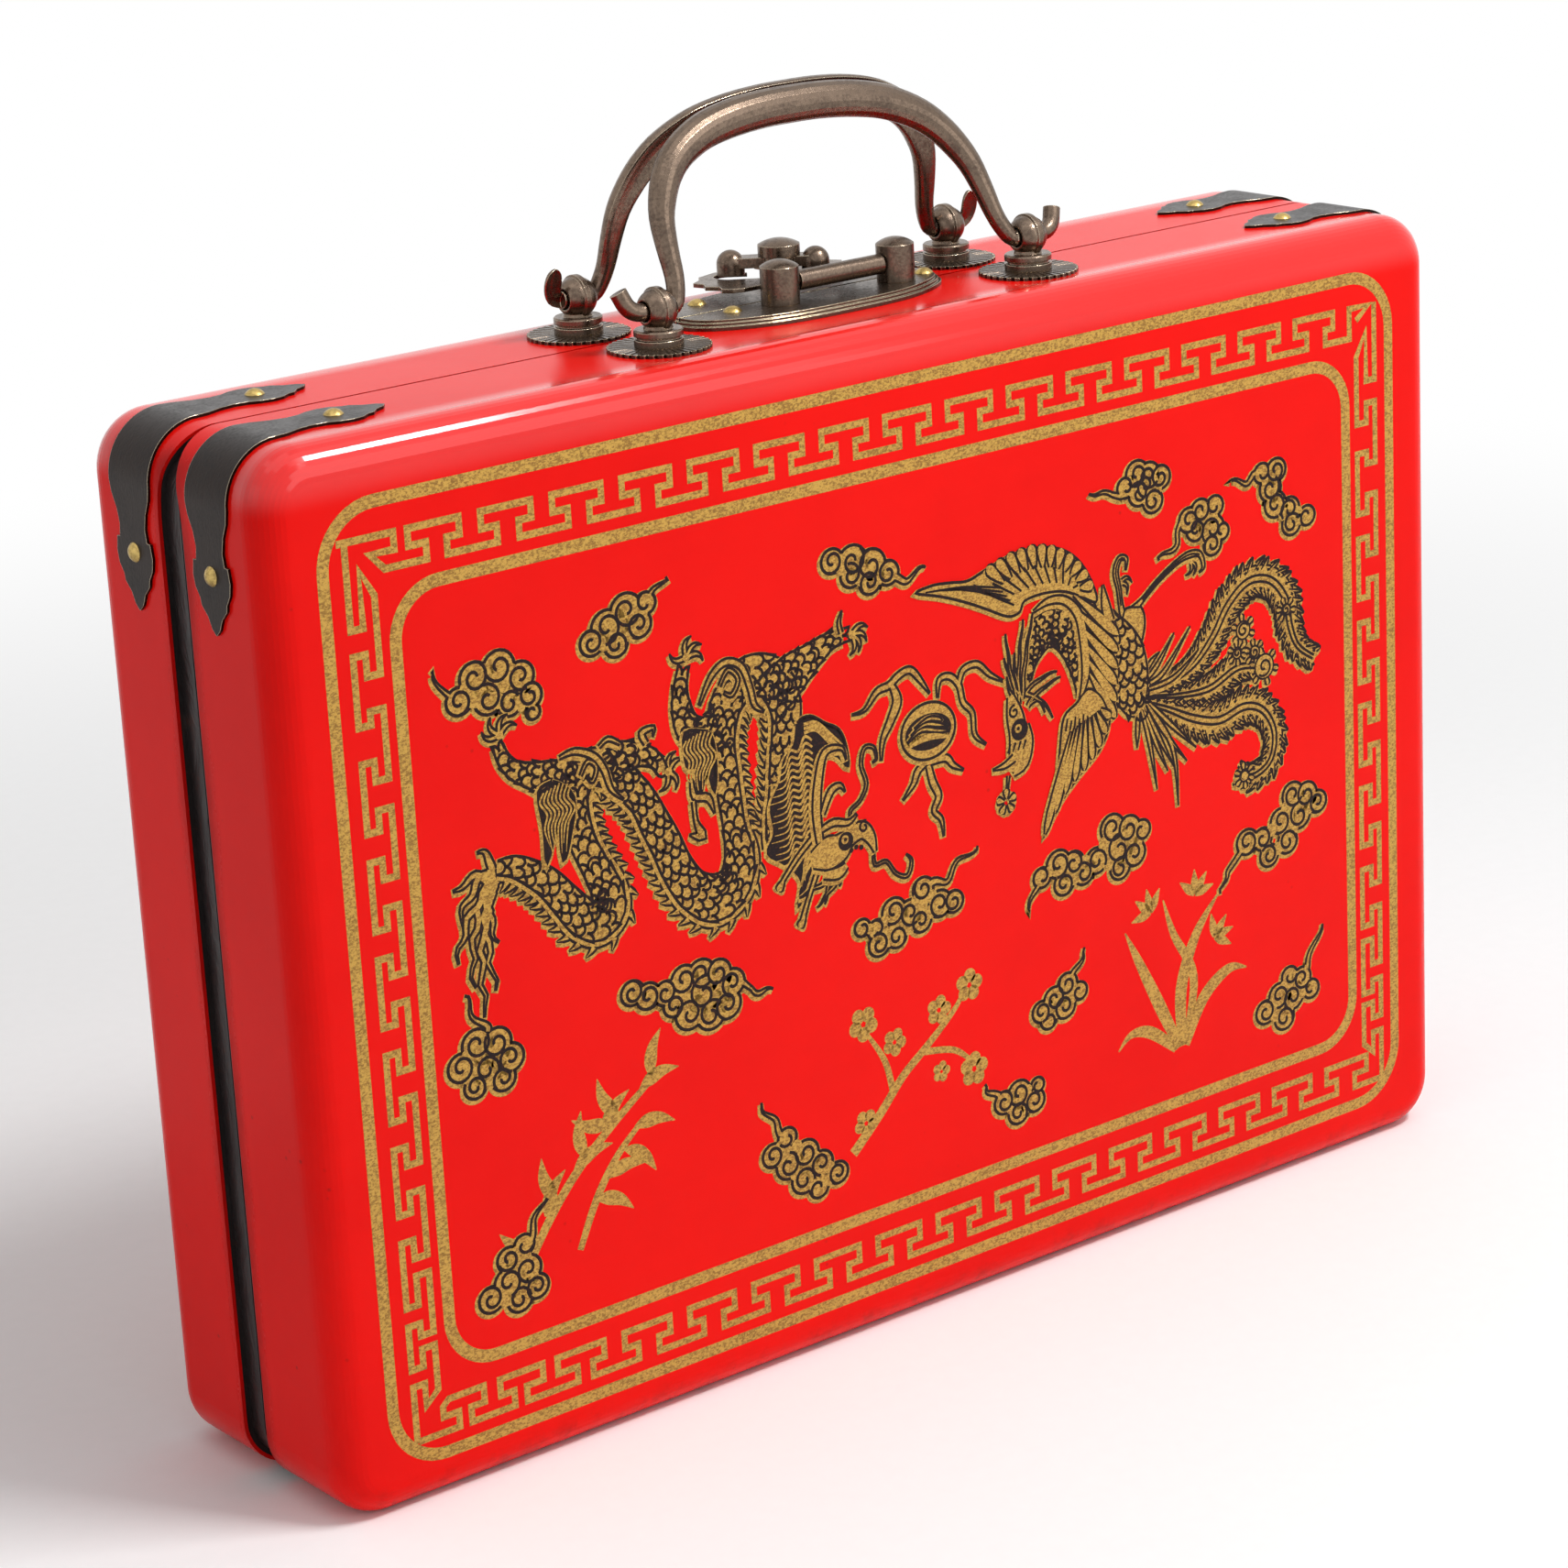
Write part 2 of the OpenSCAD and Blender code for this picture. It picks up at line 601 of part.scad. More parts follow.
// The rear handle's end: flattened to a leaf that stands up beside the ball
leaf_side = [
    [-1.2, 0, 1.6, 1.6], [0.4, 0.1, 1.75, 1.5], [1.7, 0.9, 1.9, 1.3], [2.3, 2.3, 2.05, 1.15],
    [2.4, 3.8, 2.15, 1.1], [2.3, leaf_rise - 2, 2, 1.1], [2.1, leaf_rise - 1, 1.6, 1.05],
    [2, leaf_rise - 0.3, 0.9, 0.9], [2, leaf_rise, 0.3, 0.5]];
function leaf_section(v, w) = [for (j = [0:ring_n - 1]) let (a = 360 * j / ring_n, s = sin(a))
    s >= 0 ? [v * cos(a), w * s] : [v * cos(a), w * (0.7 * s * s - 0.6 * pow(-s, 0.5))]];
module leaf_end() {
    line = smooth_line(leaf_side, 2);
    translate([rod_out, 0, 0])
        swept(line, [for (p = line) leaf_section(p[2], p[3])]);
}
lean_r = norm([flat_off, arch_h + grip_r]);
function lean(y) = asin((y - handle_gap / 2) / lean_r) - atan(flat_off / (arch_h + grip_r));
module front_handle() color(bronze)
    translate([front_shift, -front_lug_y, case_h + eye_h]) rotate([-lean(front_lug_y), 0, 0]) {
        arch(front_bend);
        for (m = [0, 1]) mirror([m, 0, 0]) {
            eye_rod();
            hooked_end();
        }
    }
module rear_handle() color(bronze) mirror([0, 1, 0])
    translate([-rear_shift, -rear_lug_y, case_h + eye_h]) rotate([-lean(rear_lug_y), 0, 0]) {
        arch(0);
        for (m = [0, 1]) mirror([m, 0, 0]) {
            eye_rod();
            leaf_end();
        }
    }

// Outline of a latch plate: a half oval with a small cusp on each shoulder
function plate_outline(inset) =
    [for (i = [0:36]) let (a = 180 * i / 36, cusp = 1 + 0.035 * pow(cos(3 * a), 2),
                           deep = plate_b - top_line - inset)
        [(plate_a - inset) * cos(a), -top_line - deep * pow(sin(a), 0.8) * cusp / 1.035]];
module latch_plate(nails, holes) {
    difference() {
        translate([0, 0, case_h]) for (step = [0, 1, 2])
            linear_extrude(plate_t + step * field_rise / 2) polygon(plate_outline(step * 0.7));
        for (p = nails) translate([p[0], -p[1], case_h - 1])
            cylinder(r = shank_r + hole_fit, h = plate_top + 2);
        for (p = holes) translate([p[0], -p[1], case_h - 1])
            cylinder(r = lug_shank_r + hole_fit, h = plate_top + 2);
    }
}
module front_latch_plate() color(dark_bronze)
    latch_plate(latch_nails, [[post_x1, post_y], [post_x2, post_y]]);
module rear_latch_plate() color(dark_bronze)
    mirror([0, 1, 0]) latch_plate(rear_latch_nails, [[0, catch_y]]);
module front_latch_nails() color(brass) for (p = latch_nails)
    translate([p[0], -p[1], case_h + plate_top]) nail(plate_top + wood_in + nail_depth);
module rear_latch_nails() color(brass) for (p = rear_latch_nails)
    translate([p[0], p[1], case_h + plate_top]) nail(plate_top + wood_in + nail_depth);

// A domed post with a shank below
module latch_posts() color(bronze) {
    crown = 1.5;
    dome = (post_r * post_r + crown * crown) / (2 * crown);
    for (x = [post_x1, post_x2])
        difference() {
            translate([x, -post_y, case_h]) {
                intersection() {
                    translate([0, 0, plate_top]) cylinder(r = post_r, h = post_h);
                    translate([0, 0, post_h - dome]) sphere(r = dome, $fn = 64);
                }
                translate([0, 0, -wood_in - nail_depth])
                    cylinder(r = lug_shank_r, h = nail_depth + wood_in + plate_top + 0.5);
            }
            translate([post_x1 + post_r - 2.5, -post_y, case_h + hasp_z]) rotate([0, 90, 0])
                cylinder(r = pin_r + 0.02, h = post_x2 - post_x1 - 2 * post_r + 5);
        }
}
module hasp_pin() color(bronze)
    translate([post_x1 + post_r - 2.4, -post_y, case_h + hasp_z]) rotate([0, 90, 0])
        cylinder(r = pin_r, h = post_x2 - post_x1 - 2 * post_r + 4.8);

// The hasp: a barrel on the pin and a winged plate, open to the rear round the stud.
// The window follows the turning catch at rest, and is longer where the hasp swings past.
barrel_x1 = post_x1 + post_r + 0.3;
barrel_x2 = post_x2 - post_r - 0.3;
wing = 18.4;
hasp_rear = catch_y + 13.3;
wing_near = catch_y - 6.2;
wing_edge = [
    [14.6, 0], [17, 1], [wing, 3], [wing - 1.3, 5.6], [wing + 0.5, 8.2], [wing - 1, 10.8],
    [wing - 0.2, 13.4], [wing - 3.2, 15.2], [wing - 5, 17.8]];
module hasp() color(bronze) {
    near = [short_arm * cos(catch_angle), catch_y + short_arm * sin(catch_angle)];
    far = [-long_arm * cos(catch_angle), catch_y - long_arm * sin(catch_angle)];
    difference() {
        union() {
            translate([barrel_x1, -post_y, case_h + hasp_z]) rotate([0, 90, 0])
                cylinder(r = barrel_r, h = barrel_x2 - barrel_x1);
            translate([0, 0, case_h + hasp_low]) linear_extrude(hasp_t) difference() {
                polygon(concat(
                    [[barrel_x1, -post_y], [barrel_x1, wing_near]],
                    [for (p = wing_edge) [-p[0], wing_near + p[1]]],
                    [[-8, hasp_rear], [8, hasp_rear]],
                    [for (i = [len(wing_edge) - 1:-1:0]) [wing_edge[i][0], wing_near + wing_edge[i][1]]],
                    [[barrel_x2, wing_near - 2], [barrel_x2, -post_y]]));
                hull() {
                    translate([0, catch_y]) circle(r = knob_r + 0.55, $fn = 32);
                    translate([0, catch_y + 1.2]) circle(r = knob_r + 0.55, $fn = 32);
                }
                hull() {
                    translate(far) circle(r = dome_r + 0.45, $fn = 32);
                    translate([far[0], far[1] + 0.6]) circle(r = dome_r + 0.45, $fn = 32);
                    translate([0, catch_y]) circle(r = dome_r, $fn = 32);
                }
                hull() {
                    translate(near) circle(r = dome_r + 0.4, $fn = 32);
                    translate([near[0], near[1] + 0.8]) circle(r = dome_r + 0.4, $fn = 32);
                    translate([0, catch_y]) circle(r = dome_r, $fn = 32);
                }
                translate([near[0] - dome_r - 0.4, 0.2 - post_y])
                    square([2 * dome_r + 0.8, near[1] + post_y]);
                translate([-stud_r - 0.5, catch_y]) square([2 * stud_r + 1, 2 * hasp_rear]);
            }
        }
        translate([barrel_x1 - 1, -post_y, case_h + hasp_z]) rotate([0, 90, 0])
            cylinder(r = pin_r + pin_fit, h = barrel_x2 - barrel_x1 + 2);
    }
}

// The stud that the catch turns on, riveted to the rear plate
module latch_stud() color(bronze) translate([0, catch_y, case_h]) {
    translate([0, 0, -wood_in - nail_depth])
        cylinder(r = lug_shank_r, h = nail_depth + wood_in + plate_top + 0.5);
    translate([0, 0, plate_top]) cylinder(r = stud_r, h = catch_low - 0.1 - plate_top);
    translate([0, 0, plate_top]) cylinder(r = spindle_r, h = knob_top - 2.6 - plate_top);
}
knob_low = catch_low + bar_lift + bar_t;
module turn_bar() color(bronze)
    translate([0, catch_y, case_h]) rotate([0, 0, catch_angle]) difference() {
        union() {
            translate([-long_arm, -bar_w / 2, catch_low + bar_lift])
                cube([long_arm + short_arm, bar_w, bar_t]);
            translate([0, 0, catch_low]) cylinder(r = hub_r, h = bar_lift + bar_t);
            for (x = [-long_arm, short_arm]) translate([x, 0, catch_low]) {
                cylinder(r = dome_r, h = dome_low_h);
                translate([0, 0, dome_low_h]) intersection() {
                    sphere(r = dome_r);
                    translate([0, 0, dome_r - 0.3]) cube(2 * dome_r, center = true);
                }
            }
        }
        translate([0, 0, catch_low - 1])
            cylinder(r = spindle_r + catch_fit, h = bar_lift + bar_t + 2);
    }
module turn_knob() color(brass) translate([0, catch_y, case_h]) {
    crown = 1.3;
    dome = (knob_r * knob_r + crown * crown) / (2 * crown);
    difference() {
        intersection() {
            translate([0, 0, knob_low]) cylinder(r = knob_r, h = knob_top);
            translate([0, 0, knob_top - dome]) sphere(r = dome, $fn = 64);
        }
        translate([0, 0, knob_low - 1])
            cylinder(r = spindle_r + catch_fit, h = knob_top - 2.5 - knob_low + 1);
    }
}

// A hinge leaf; the front one has the middle knuckle, the rear one the outer two
function knuckle_span(k) = k > 0
    ? [[-hinge_l / 6 + knuckle_gap / 2, hinge_l / 6 - knuckle_gap / 2]]
    : [[-hinge_l / 2, -hinge_l / 6 - knuckle_gap / 2], [hinge_l / 6 + knuckle_gap / 2, hinge_l / 2]];
module hinge_leaf(k) {
    difference() {
        union() {
            translate([-hinge_l / 2, k > 0 ? -rim_gap / 2 - leaf_t : rim_gap / 2, 0])
                cube([hinge_l, leaf_t, leaf_h]);
            for (s = knuckle_span(k)) translate([s[0], 0, 0]) rotate([0, 90, 0])
                cylinder(r = knuckle_r, h = s[1] - s[0]);
        }
        for (s = knuckle_span(-k)) translate([s[0] - knuckle_gap, 0, 0]) rotate([0, 90, 0])
            cylinder(r = knuckle_r + 0.3, h = s[1] - s[0] + 2 * knuckle_gap);
        translate([-hinge_l, 0, 0]) rotate([0, 90, 0])
            cylinder(r = hinge_pin_r + hole_fit, h = 2 * hinge_l);
        for (x = leaf_screws) translate([x, 0, screw_z - hinge_z]) rotate([k * 90, 0, 0]) {
            cylinder(r = screw_r + hole_fit, h = leaf_t + 1);
            cylinder(r = screw_head_r + hole_fit, h = rim_gap / 2 + screw_head_t);
        }
    }
}
module hinge_leaves(k) color(brass) for (s = [-1, 1])
    translate([s * hinge_x, 0, hinge_z]) hinge_leaf(k);
module front_hinge_leaves() hinge_leaves(1);
module rear_hinge_leaves() hinge_leaves(-1);
module hinge_pins() color(brass) for (s = [-1, 1])
    translate([s * hinge_x - hinge_l / 2, 0, hinge_z]) rotate([0, 90, 0])
        cylinder(r = hinge_pin_r, h = hinge_l);

module hinge_screws(k) color(brass) for (s = [-1, 1], x = leaf_screws)
    translate([s * hinge_x + x, -k * rim_gap / 2, screw_z]) rotate([k * 90, 0, 0]) {
        difference() {
            cylinder(r = screw_head_r, h = screw_head_t);
            translate([-screw_head_r, -0.2, -0.1]) cube([2 * screw_head_r, 0.4, 0.35]);
        }
        cylinder(r = screw_r, h = screw_l - 0.1);
    }
module front_hinge_screws() hinge_screws(1);
module rear_hinge_screws() hinge_screws(-1);

front_cover();
front_panel();
front_top_rail();
front_bottom_rail();
front_side_rails();
front_lining();
front_dividers();
front_left_strap();
front_right_strap();
front_strap_nails();
front_left_lug();
front_right_lug();
front_left_washer();
front_right_washer();
front_handle();
front_latch_plate();
front_latch_nails();
latch_posts();
hasp_pin();
hasp();
front_hinge_leaves();
front_hinge_screws();
rear_cover();
rear_panel();
rear_top_rail();
rear_bottom_rail();
rear_side_rails();
rear_lining();
rear_dividers();
rear_left_strap();
rear_right_strap();
rear_strap_nails();
rear_left_lug();
rear_right_lug();
rear_left_washer();
rear_right_washer();
rear_handle();
rear_latch_plate();
rear_latch_nails();
latch_stud();
turn_bar();
turn_knob();
rear_hinge_leaves();
rear_hinge_screws();
hinge_pins();
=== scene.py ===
import bpy
import math
from mathutils import Matrix, Vector


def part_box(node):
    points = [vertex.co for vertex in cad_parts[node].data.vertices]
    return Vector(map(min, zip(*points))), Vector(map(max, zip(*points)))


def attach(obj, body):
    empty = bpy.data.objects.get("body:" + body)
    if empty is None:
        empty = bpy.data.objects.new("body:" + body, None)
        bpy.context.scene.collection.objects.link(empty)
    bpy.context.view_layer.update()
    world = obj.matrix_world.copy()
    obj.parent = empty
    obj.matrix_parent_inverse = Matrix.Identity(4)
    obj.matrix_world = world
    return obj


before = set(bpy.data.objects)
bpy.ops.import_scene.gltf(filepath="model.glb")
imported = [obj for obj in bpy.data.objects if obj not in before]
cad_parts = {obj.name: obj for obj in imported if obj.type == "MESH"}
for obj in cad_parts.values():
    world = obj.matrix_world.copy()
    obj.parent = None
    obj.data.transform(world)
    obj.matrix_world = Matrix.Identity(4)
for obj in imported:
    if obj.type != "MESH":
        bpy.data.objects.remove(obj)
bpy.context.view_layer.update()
mm = 0.001
toMm = 1000
coverLow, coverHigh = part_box("front_cover")
caseHeight = coverHigh[2] / mm
halfLength = round(coverHigh[0] / mm, 3)
faceOut = round(-coverLow[1] / mm, 3)  # how far each broad face lies from the middle
print("stage: frame loaded")


# Camera and light. A lamp's row is its place, aim, size and power.
camera = {"place": (-0.5794, -0.7335, 0.4074), "heading": 37.71, "down": 17.27, "roll": -3.02,
          "lens": 100.83, "sensor": 36, "near": 0.02, "far": 50}
light = {"world": 0.42, "lamps": {
    "topSoftbox": ((-0.1, -0.25, 1.5), (0, 0, 0.15), (1.6, 0.9), 2.6),
    "keyStrip": ((0.34, -0.54, 1.03), (-0.13, -0.03, 0.2), (0.4, 0.15), 9.0),
    "frontSoftbox": ((0.7, -1.7, 0.9), (0, 0, 0.12), (1.2, 1.2), 5.2),
    "leftSoftbox": ((-1.7, -0.1, 0.7), (0, 0, 0.12), (1.0, 1.0), 0.6)}}


def addObject(name, data):
    obj = bpy.data.objects.new(name, data)
    bpy.context.scene.collection.objects.link(obj)
    return obj


def makeCamera():
    data = bpy.data.cameras.new("view")
    data.lens = camera["lens"]
    data.sensor_width = camera["sensor"]
    data.clip_start, data.clip_end = camera["near"], camera["far"]
    cam = addObject("view", data)
    turn = Matrix.Rotation(math.radians(-camera["heading"]), 4, "Z")
    tilt = Matrix.Rotation(math.radians(90 - camera["down"]), 4, "X")
    roll = Matrix.Rotation(math.radians(camera["roll"]), 4, "Z")
    cam.matrix_world = Matrix.Translation(camera["place"]) @ turn @ tilt @ roll
    bpy.context.scene.camera = cam


def makeLamp(name, place, aim, size, power):
    data = bpy.data.lights.new(name, "AREA")
    data.shape = "RECTANGLE"
    data.size, data.size_y = size
    data.energy = power
    lamp = addObject(name, data)
    lamp.location = place
    lamp.rotation_euler = (Vector(aim) - Vector(place)).to_track_quat("-Z", "Y").to_euler()


makeCamera()
for name, row in light["lamps"].items():
    makeLamp(name, *row)
print("stage: camera and light made")


class Wire:  # a socket, where sums add Math nodes
    def __init__(self, maker, socket):
        self.maker, self.socket = maker, socket

    def math(self, operation, *others):
        return self.maker.add("ShaderNodeMath", {"operation": operation}, [self, *others])

    def __add__(self, other):
        return self.math("ADD", other)

    def __sub__(self, other):
        return self.math("SUBTRACT", other)

    def __mul__(self, other):
        return self.math("MULTIPLY", other)

    def __rsub__(self, other):
        return self.maker.add("ShaderNodeMath", {"operation": "SUBTRACT"}, [other, self])

    __radd__, __rmul__ = __add__, __mul__

    def most(self, other):
        return self.math("MAXIMUM", other)

    def size(self):
        return self.math("ABSOLUTE")

    def ramp(self, low, high):  # 0 below low, 1 above high
        return self.maker.add("ShaderNodeMapRange", {"interpolation_type": "SMOOTHSTEP"},
                              {"Value": self, "From Min": low, "From Max": high})


class Maker:  # a material or a world, and its nodes
    def __init__(self, name, kind="materials"):
        self.owner = getattr(bpy.data, kind).new(name)
        self.owner.use_nodes = True
        self.tree = self.owner.node_tree
        self.tree.nodes.clear()

    def add(self, kind, settings=None, inputs=None, out=0):
        node = self.tree.nodes.new(kind)
        for key, value in (settings or {}).items():
            setattr(node, key, value)
        pairs = inputs.items() if isinstance(inputs, dict) else enumerate(inputs or [])
        for key, value in pairs:
            if value is None:
                continue
            if isinstance(value, Wire):
                self.tree.links.new(value.socket, node.inputs[key])
            else:
                node.inputs[key].default_value = value
        return Wire(self, node.outputs[out]) if len(node.outputs) else node

    def place(self):
        return self.add("ShaderNodeTexCoord", out="Object")

    def split(self, vector):
        parts = self.add("ShaderNodeSeparateXYZ", None, [vector]).socket.node.outputs
        return [Wire(self, part) for part in parts]

    def noise(self, at, scale, detail, rough=0.55, warp=0.0):
        values = {"Vector": at, "Scale": scale, "Detail": detail, "Roughness": rough, "Distortion": warp}
        return self.add("ShaderNodeTexNoise", None, values)

    def cells(self, at, scale):
        return self.add("ShaderNodeTexVoronoi", None, {"Vector": at, "Scale": scale}, "Distance")

    def stretch(self, at, scale):
        return self.add("ShaderNodeMapping", None, {"Vector": at, "Scale": scale})

    def blend(self, share, first, second):
        return self.add("ShaderNodeMix", {"data_type": "RGBA"}, {0: share, 6: first, 7: second}, 2)

    def bump(self, height, depth, strength, normal=None):
        return self.add("ShaderNodeBump", None,
                        {"Height": height, "Distance": depth, "Strength": strength, "Normal": normal})

    def edges(self, radius):  # softened normal, and 1 on sharp edges, 0 on flats
        soft = self.add("ShaderNodeBevel", {"samples": 6}, {"Radius": radius})
        flat = self.add("ShaderNodeNewGeometry", out="Normal")
        same = self.add("ShaderNodeVectorMath", {"operation": "DOT_PRODUCT"}, [soft, flat], "Value")
        return soft, (1 - same).ramp(0.01, 0.16)

    def seen(self):  # 1 for rays from the camera and rays that mirrors and glass send on
        rays = "Is Camera Ray", "Is Glossy Ray", "Is Transmission Ray"
        direct, glossy, through = [self.add("ShaderNodeLightPath", out=ray) for ray in rays]
        return direct.most(glossy).most(through)

    def finish(self, **sockets):
        names = {"colour": "Base Color", "rough": "Roughness", "metal": "Metallic", "coat": "Coat Weight",
                 "coatRough": "Coat Roughness", "normal": "Normal", "sheen": "Sheen Weight",
                 "specular": "Specular IOR Level"}
        shader = self.add("ShaderNodeBsdfPrincipled", None, {names[k]: v for k, v in sockets.items()})
        self.add("ShaderNodeOutputMaterial", None, [shader])
        return self.owner


def tint(*screen):  # screen colour to the renderer's
    return (*(c / 255 / 12.92 if c < 11 else ((c / 255 + 0.055) / 1.055) ** 2.4 for c in screen), 1.0)


# Lacquer. Shine rises from 13 to 7 mm below the top and from 20 to 26 mm out from the middle.
# the near-black red is painted shade beside the groove
lacquer = {"face": (232, 18, 12), "deep": (206, 8, 8), "worn": (120, 28, 20), "grooveShade": (40, 14, 12),
           "grain": 900, "pits": 260, "corner": 7.2, "shineUp": (-13, -7), "shineOut": (20, 26),
           "coatRough": 0.1, "specular": 0.07}


def lacquerMaterial(name):
    m = Maker(name)
    at = m.place()
    x, y, z = m.split(at)
    face, deep, worn, grooveShade = [tint(*lacquer[key]) for key in ("face", "deep", "worn", "grooveShade")]
    cloudy = m.noise(at, 14, 4, 0.6)
    fine = m.noise(at, lacquer["grain"], 3, 0.6)
    crease = m.noise(m.stretch(at, (1, 1, 0.35)), 210, 5, 0.65)
    streaks = m.noise(m.stretch(at, (0.25, 4, 4)), 60, 3, 0.5)
    speck = 1 - m.cells(at, lacquer["pits"]).ramp(0.04, 0.16)
    rare = m.noise(at, 45, 2, 0.5).ramp(0.62, 0.72)
    colour = m.blend(cloudy.ramp(0.35, 0.75) * 0.35 + streaks * 0.12, face, deep)
    # the rim by the groove is rubbed rougher at the sides, and darkened towards the groove with painted
    # shade
    atSide = (x.size() * toMm - (halfLength - lacquer["corner"])).ramp(0, 7)
    rim = (1 - (y.size() * toMm - 3).ramp(0, 9)) * atSide
    rubbed = (rim * 0.9 + m.noise(m.stretch(at, (1, 1, 0.3)), 120, 4, 0.7) * 0.7 - 0.7).ramp(0.0, 0.9)
    # painted shade: the lacquer darkens towards the groove between the halves
    colour = m.blend(rubbed * 0.6, colour, grooveShade)
    foot = (1 - (z * toMm).ramp(1, 9)) * m.noise(at, 160, 4, 0.7).ramp(0.45, 0.7)
    colour = m.blend(foot * 0.5, colour, worn)
    colour = m.blend(speck * rare * 0.5, colour, worn)
    height = fine * 0.35 + crease * 0.9 - speck * rare * 0.6
    gloss = (cloudy * 0.5 + fine * 0.5).ramp(0.3, 0.7) * 0.06 + 0.2 + rubbed * 0.25
    shine = (z * toMm - caseHeight).ramp(*lacquer["shineUp"]) * (y.size() * toMm).ramp(*lacquer["shineOut"])
    return m.finish(colour=colour, rough=gloss, specular=lacquer["specular"], coat=shine,
                    coatRough=lacquer["coatRough"], normal=m.bump(height, 0.00012, 0.35))


groove = {"black": (26, 20, 20), "brown": (70, 36, 26)}


def grooveMaterial():
    m = Maker("groovePaint")
    at = m.place()
    wrinkle = m.noise(m.stretch(at, (1, 1, 0.4)), 160, 5, 0.7, 0.6)
    scuff = m.noise(at, 300, 4, 0.7).ramp(0.55, 0.75)
    colour = m.blend(scuff * 0.5, tint(*groove["black"]), tint(*groove["brown"]))
    return m.finish(colour=colour, rough=wrinkle * 0.25 + 0.22, normal=m.bump(wrinkle, 0.0007, 0.8))


metal = {"bronze": (120, 103, 89), "bronzeDark": (66, 55, 48), "bronzeRub": (206, 190, 166),
         "sheet": (40, 31, 27), "sheetDark": (24, 19, 18), "sheetRub": (196, 182, 158),
         "plate": (100, 86, 73), "plateDark": (52, 43, 38), "plateRub": (206, 190, 160),
         "brass": (196, 168, 102), "brassDark": (96, 76, 44), "brassRub": (244, 226, 176)}
# Washers in mm: reach from the pair's middle, which is at (y, x), and the radii between which flutes rise
washer = {"reach": 51, "front": (-13.2, 2), "rear": (11.5, -0.6), "flutes": 36, "rise": (4, 10)}


def metalMaterial(name, base, edge=0.0003, wear=0.75, rough=0.24, dent=0.00007, rays=None):
    m = Maker(name)
    at = m.place()
    plain, dark, rub = [tint(*metal[base + shade]) for shade in ("", "Dark", "Rub")]
    soft, edges = m.edges(edge)
    blotch = m.noise(at, 170, 5, 0.65, 0.4)
    fine = m.noise(at, 1400, 3, 0.6)
    scratch = m.noise(m.stretch(at, (1, 3, 0.6)), 600, 3, 0.7)
    patina = (blotch * 0.5 + fine * 0.6).ramp(0.45, 0.75) * 0.7
    colour = m.blend(patina, plain, dark)
    rubbed = (edges * wear + (fine * 0.6 + scratch * 0.4 - 0.5) * 0.5).ramp(0.12, 0.62)
    colour = m.blend(rubbed, colour, rub)
    shine = rough + patina * 0.22 - rubbed * 0.1 + (scratch - 0.5) * 0.16
    normal = m.bump(blotch * 0.6 + fine * 0.4 + scratch * 0.3, dent, 0.5, soft)
    if rays:  # flutes pressed round each washer
        x, y, _ = m.split(at)
        across = (x * toMm - rays[1]).size() - washer["reach"]
        along = y * toMm - rays[0]
        out = (across * across + along * along).math("SQRT")
        flute = (along.math("ARCTAN2", across) * washer["flutes"]).math("SINE") * out.ramp(*washer["rise"])
        normal = m.bump(flute, 0.0005, 1.0, normal)
        # painted shade in the troughs of the flutes
        colour = m.blend(flute.ramp(-0.2, -0.9) * 0.5, colour, dark)
    return m.finish(colour=colour, rough=shine, metal=1.0 - patina * 0.2, normal=normal)


timber = {"pale": (206, 170, 120), "dark": (150, 108, 68)}


def timberMaterial():
    m = Maker("plainTimber")
    at = m.place()
    grain = m.noise(m.stretch(at, (0.12, 2, 2)), 240, 5, 0.6, 0.8)
    ring = m.noise(m.stretch(at, (0.05, 1, 1)), 60, 3, 0.5)
    colour = m.blend(grain * 0.6 + ring * 0.4, tint(*timber["pale"]), tint(*timber["dark"]))
    return m.finish(colour=colour, rough=grain * 0.2 + 0.5, normal=m.bump(grain, 0.0002, 0.5))


cloth = {"dark": (16, 13, 13), "light": (46, 38, 38), "threads": 700, "sheen": 0.3}


def liningMaterial():
    m = Maker("liningCloth")
    at = m.place()
    waves = [m.add("ShaderNodeTexWave", {"wave_type": "BANDS", "bands_direction": way},
                   {"Vector": at, "Scale": cloth["threads"]}) for way in "XZ"]
    warp, weft = [m.add("ShaderNodeRGBToBW", None, [wave]) for wave in waves]
    nap = m.noise(at, 900, 3, 0.7)
    weave = warp * weft + nap * 0.4
    colour = m.blend(weave, tint(*cloth["dark"]), tint(*cloth["light"]))
    return m.finish(colour=colour, rough=nap * 0.2 + 0.75, sheen=cloth["sheen"],
                    normal=m.bump(weave, 0.0002, 0.6))


finishes = {
    "red": lacquerMaterial("redLacquer"),
    "groove": grooveMaterial(),
    "timber": timberMaterial(),
    "cloth": liningMaterial(),
    "bronze": metalMaterial("antiqueBronze", "bronze"),
    "sheet": metalMaterial("darkSheet", "sheet", 0.0002, 0.9, 0.3, 0.0001),
    "plate": metalMaterial("platedSheet", "plate", 0.0003, 0.9, 0.26, 0.0001),
    "frontWasher": metalMaterial("frontWashers", "plate", rays=washer["front"]),
    "rearWasher": metalMaterial("rearWashers", "plate", rays=washer["rear"]),
    "brass": metalMaterial("wornBrass", "brass", 0.0002, 0.6, 0.3),
}
nodeFinish = {"cover": "red", "panel": "timber", "rail": "groove", "lining": "cloth", "dividers": "cloth",
              "strap_nails": "brass", "latch_nails": "brass", "hinge": "brass", "turn_knob": "bronze",
              "strap": "sheet", "washer": "rearWasher", "latch_plate": "plate"}
for name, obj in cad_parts.items():
    kind = next((nodeFinish[k] for k in nodeFinish if k in name), "bronze")
    if "washer" in name and "front" in name:
        kind = "frontWasher"
    obj.data.materials.clear()
    obj.data.materials.append(finishes[kind])
print("stage: solids finished")


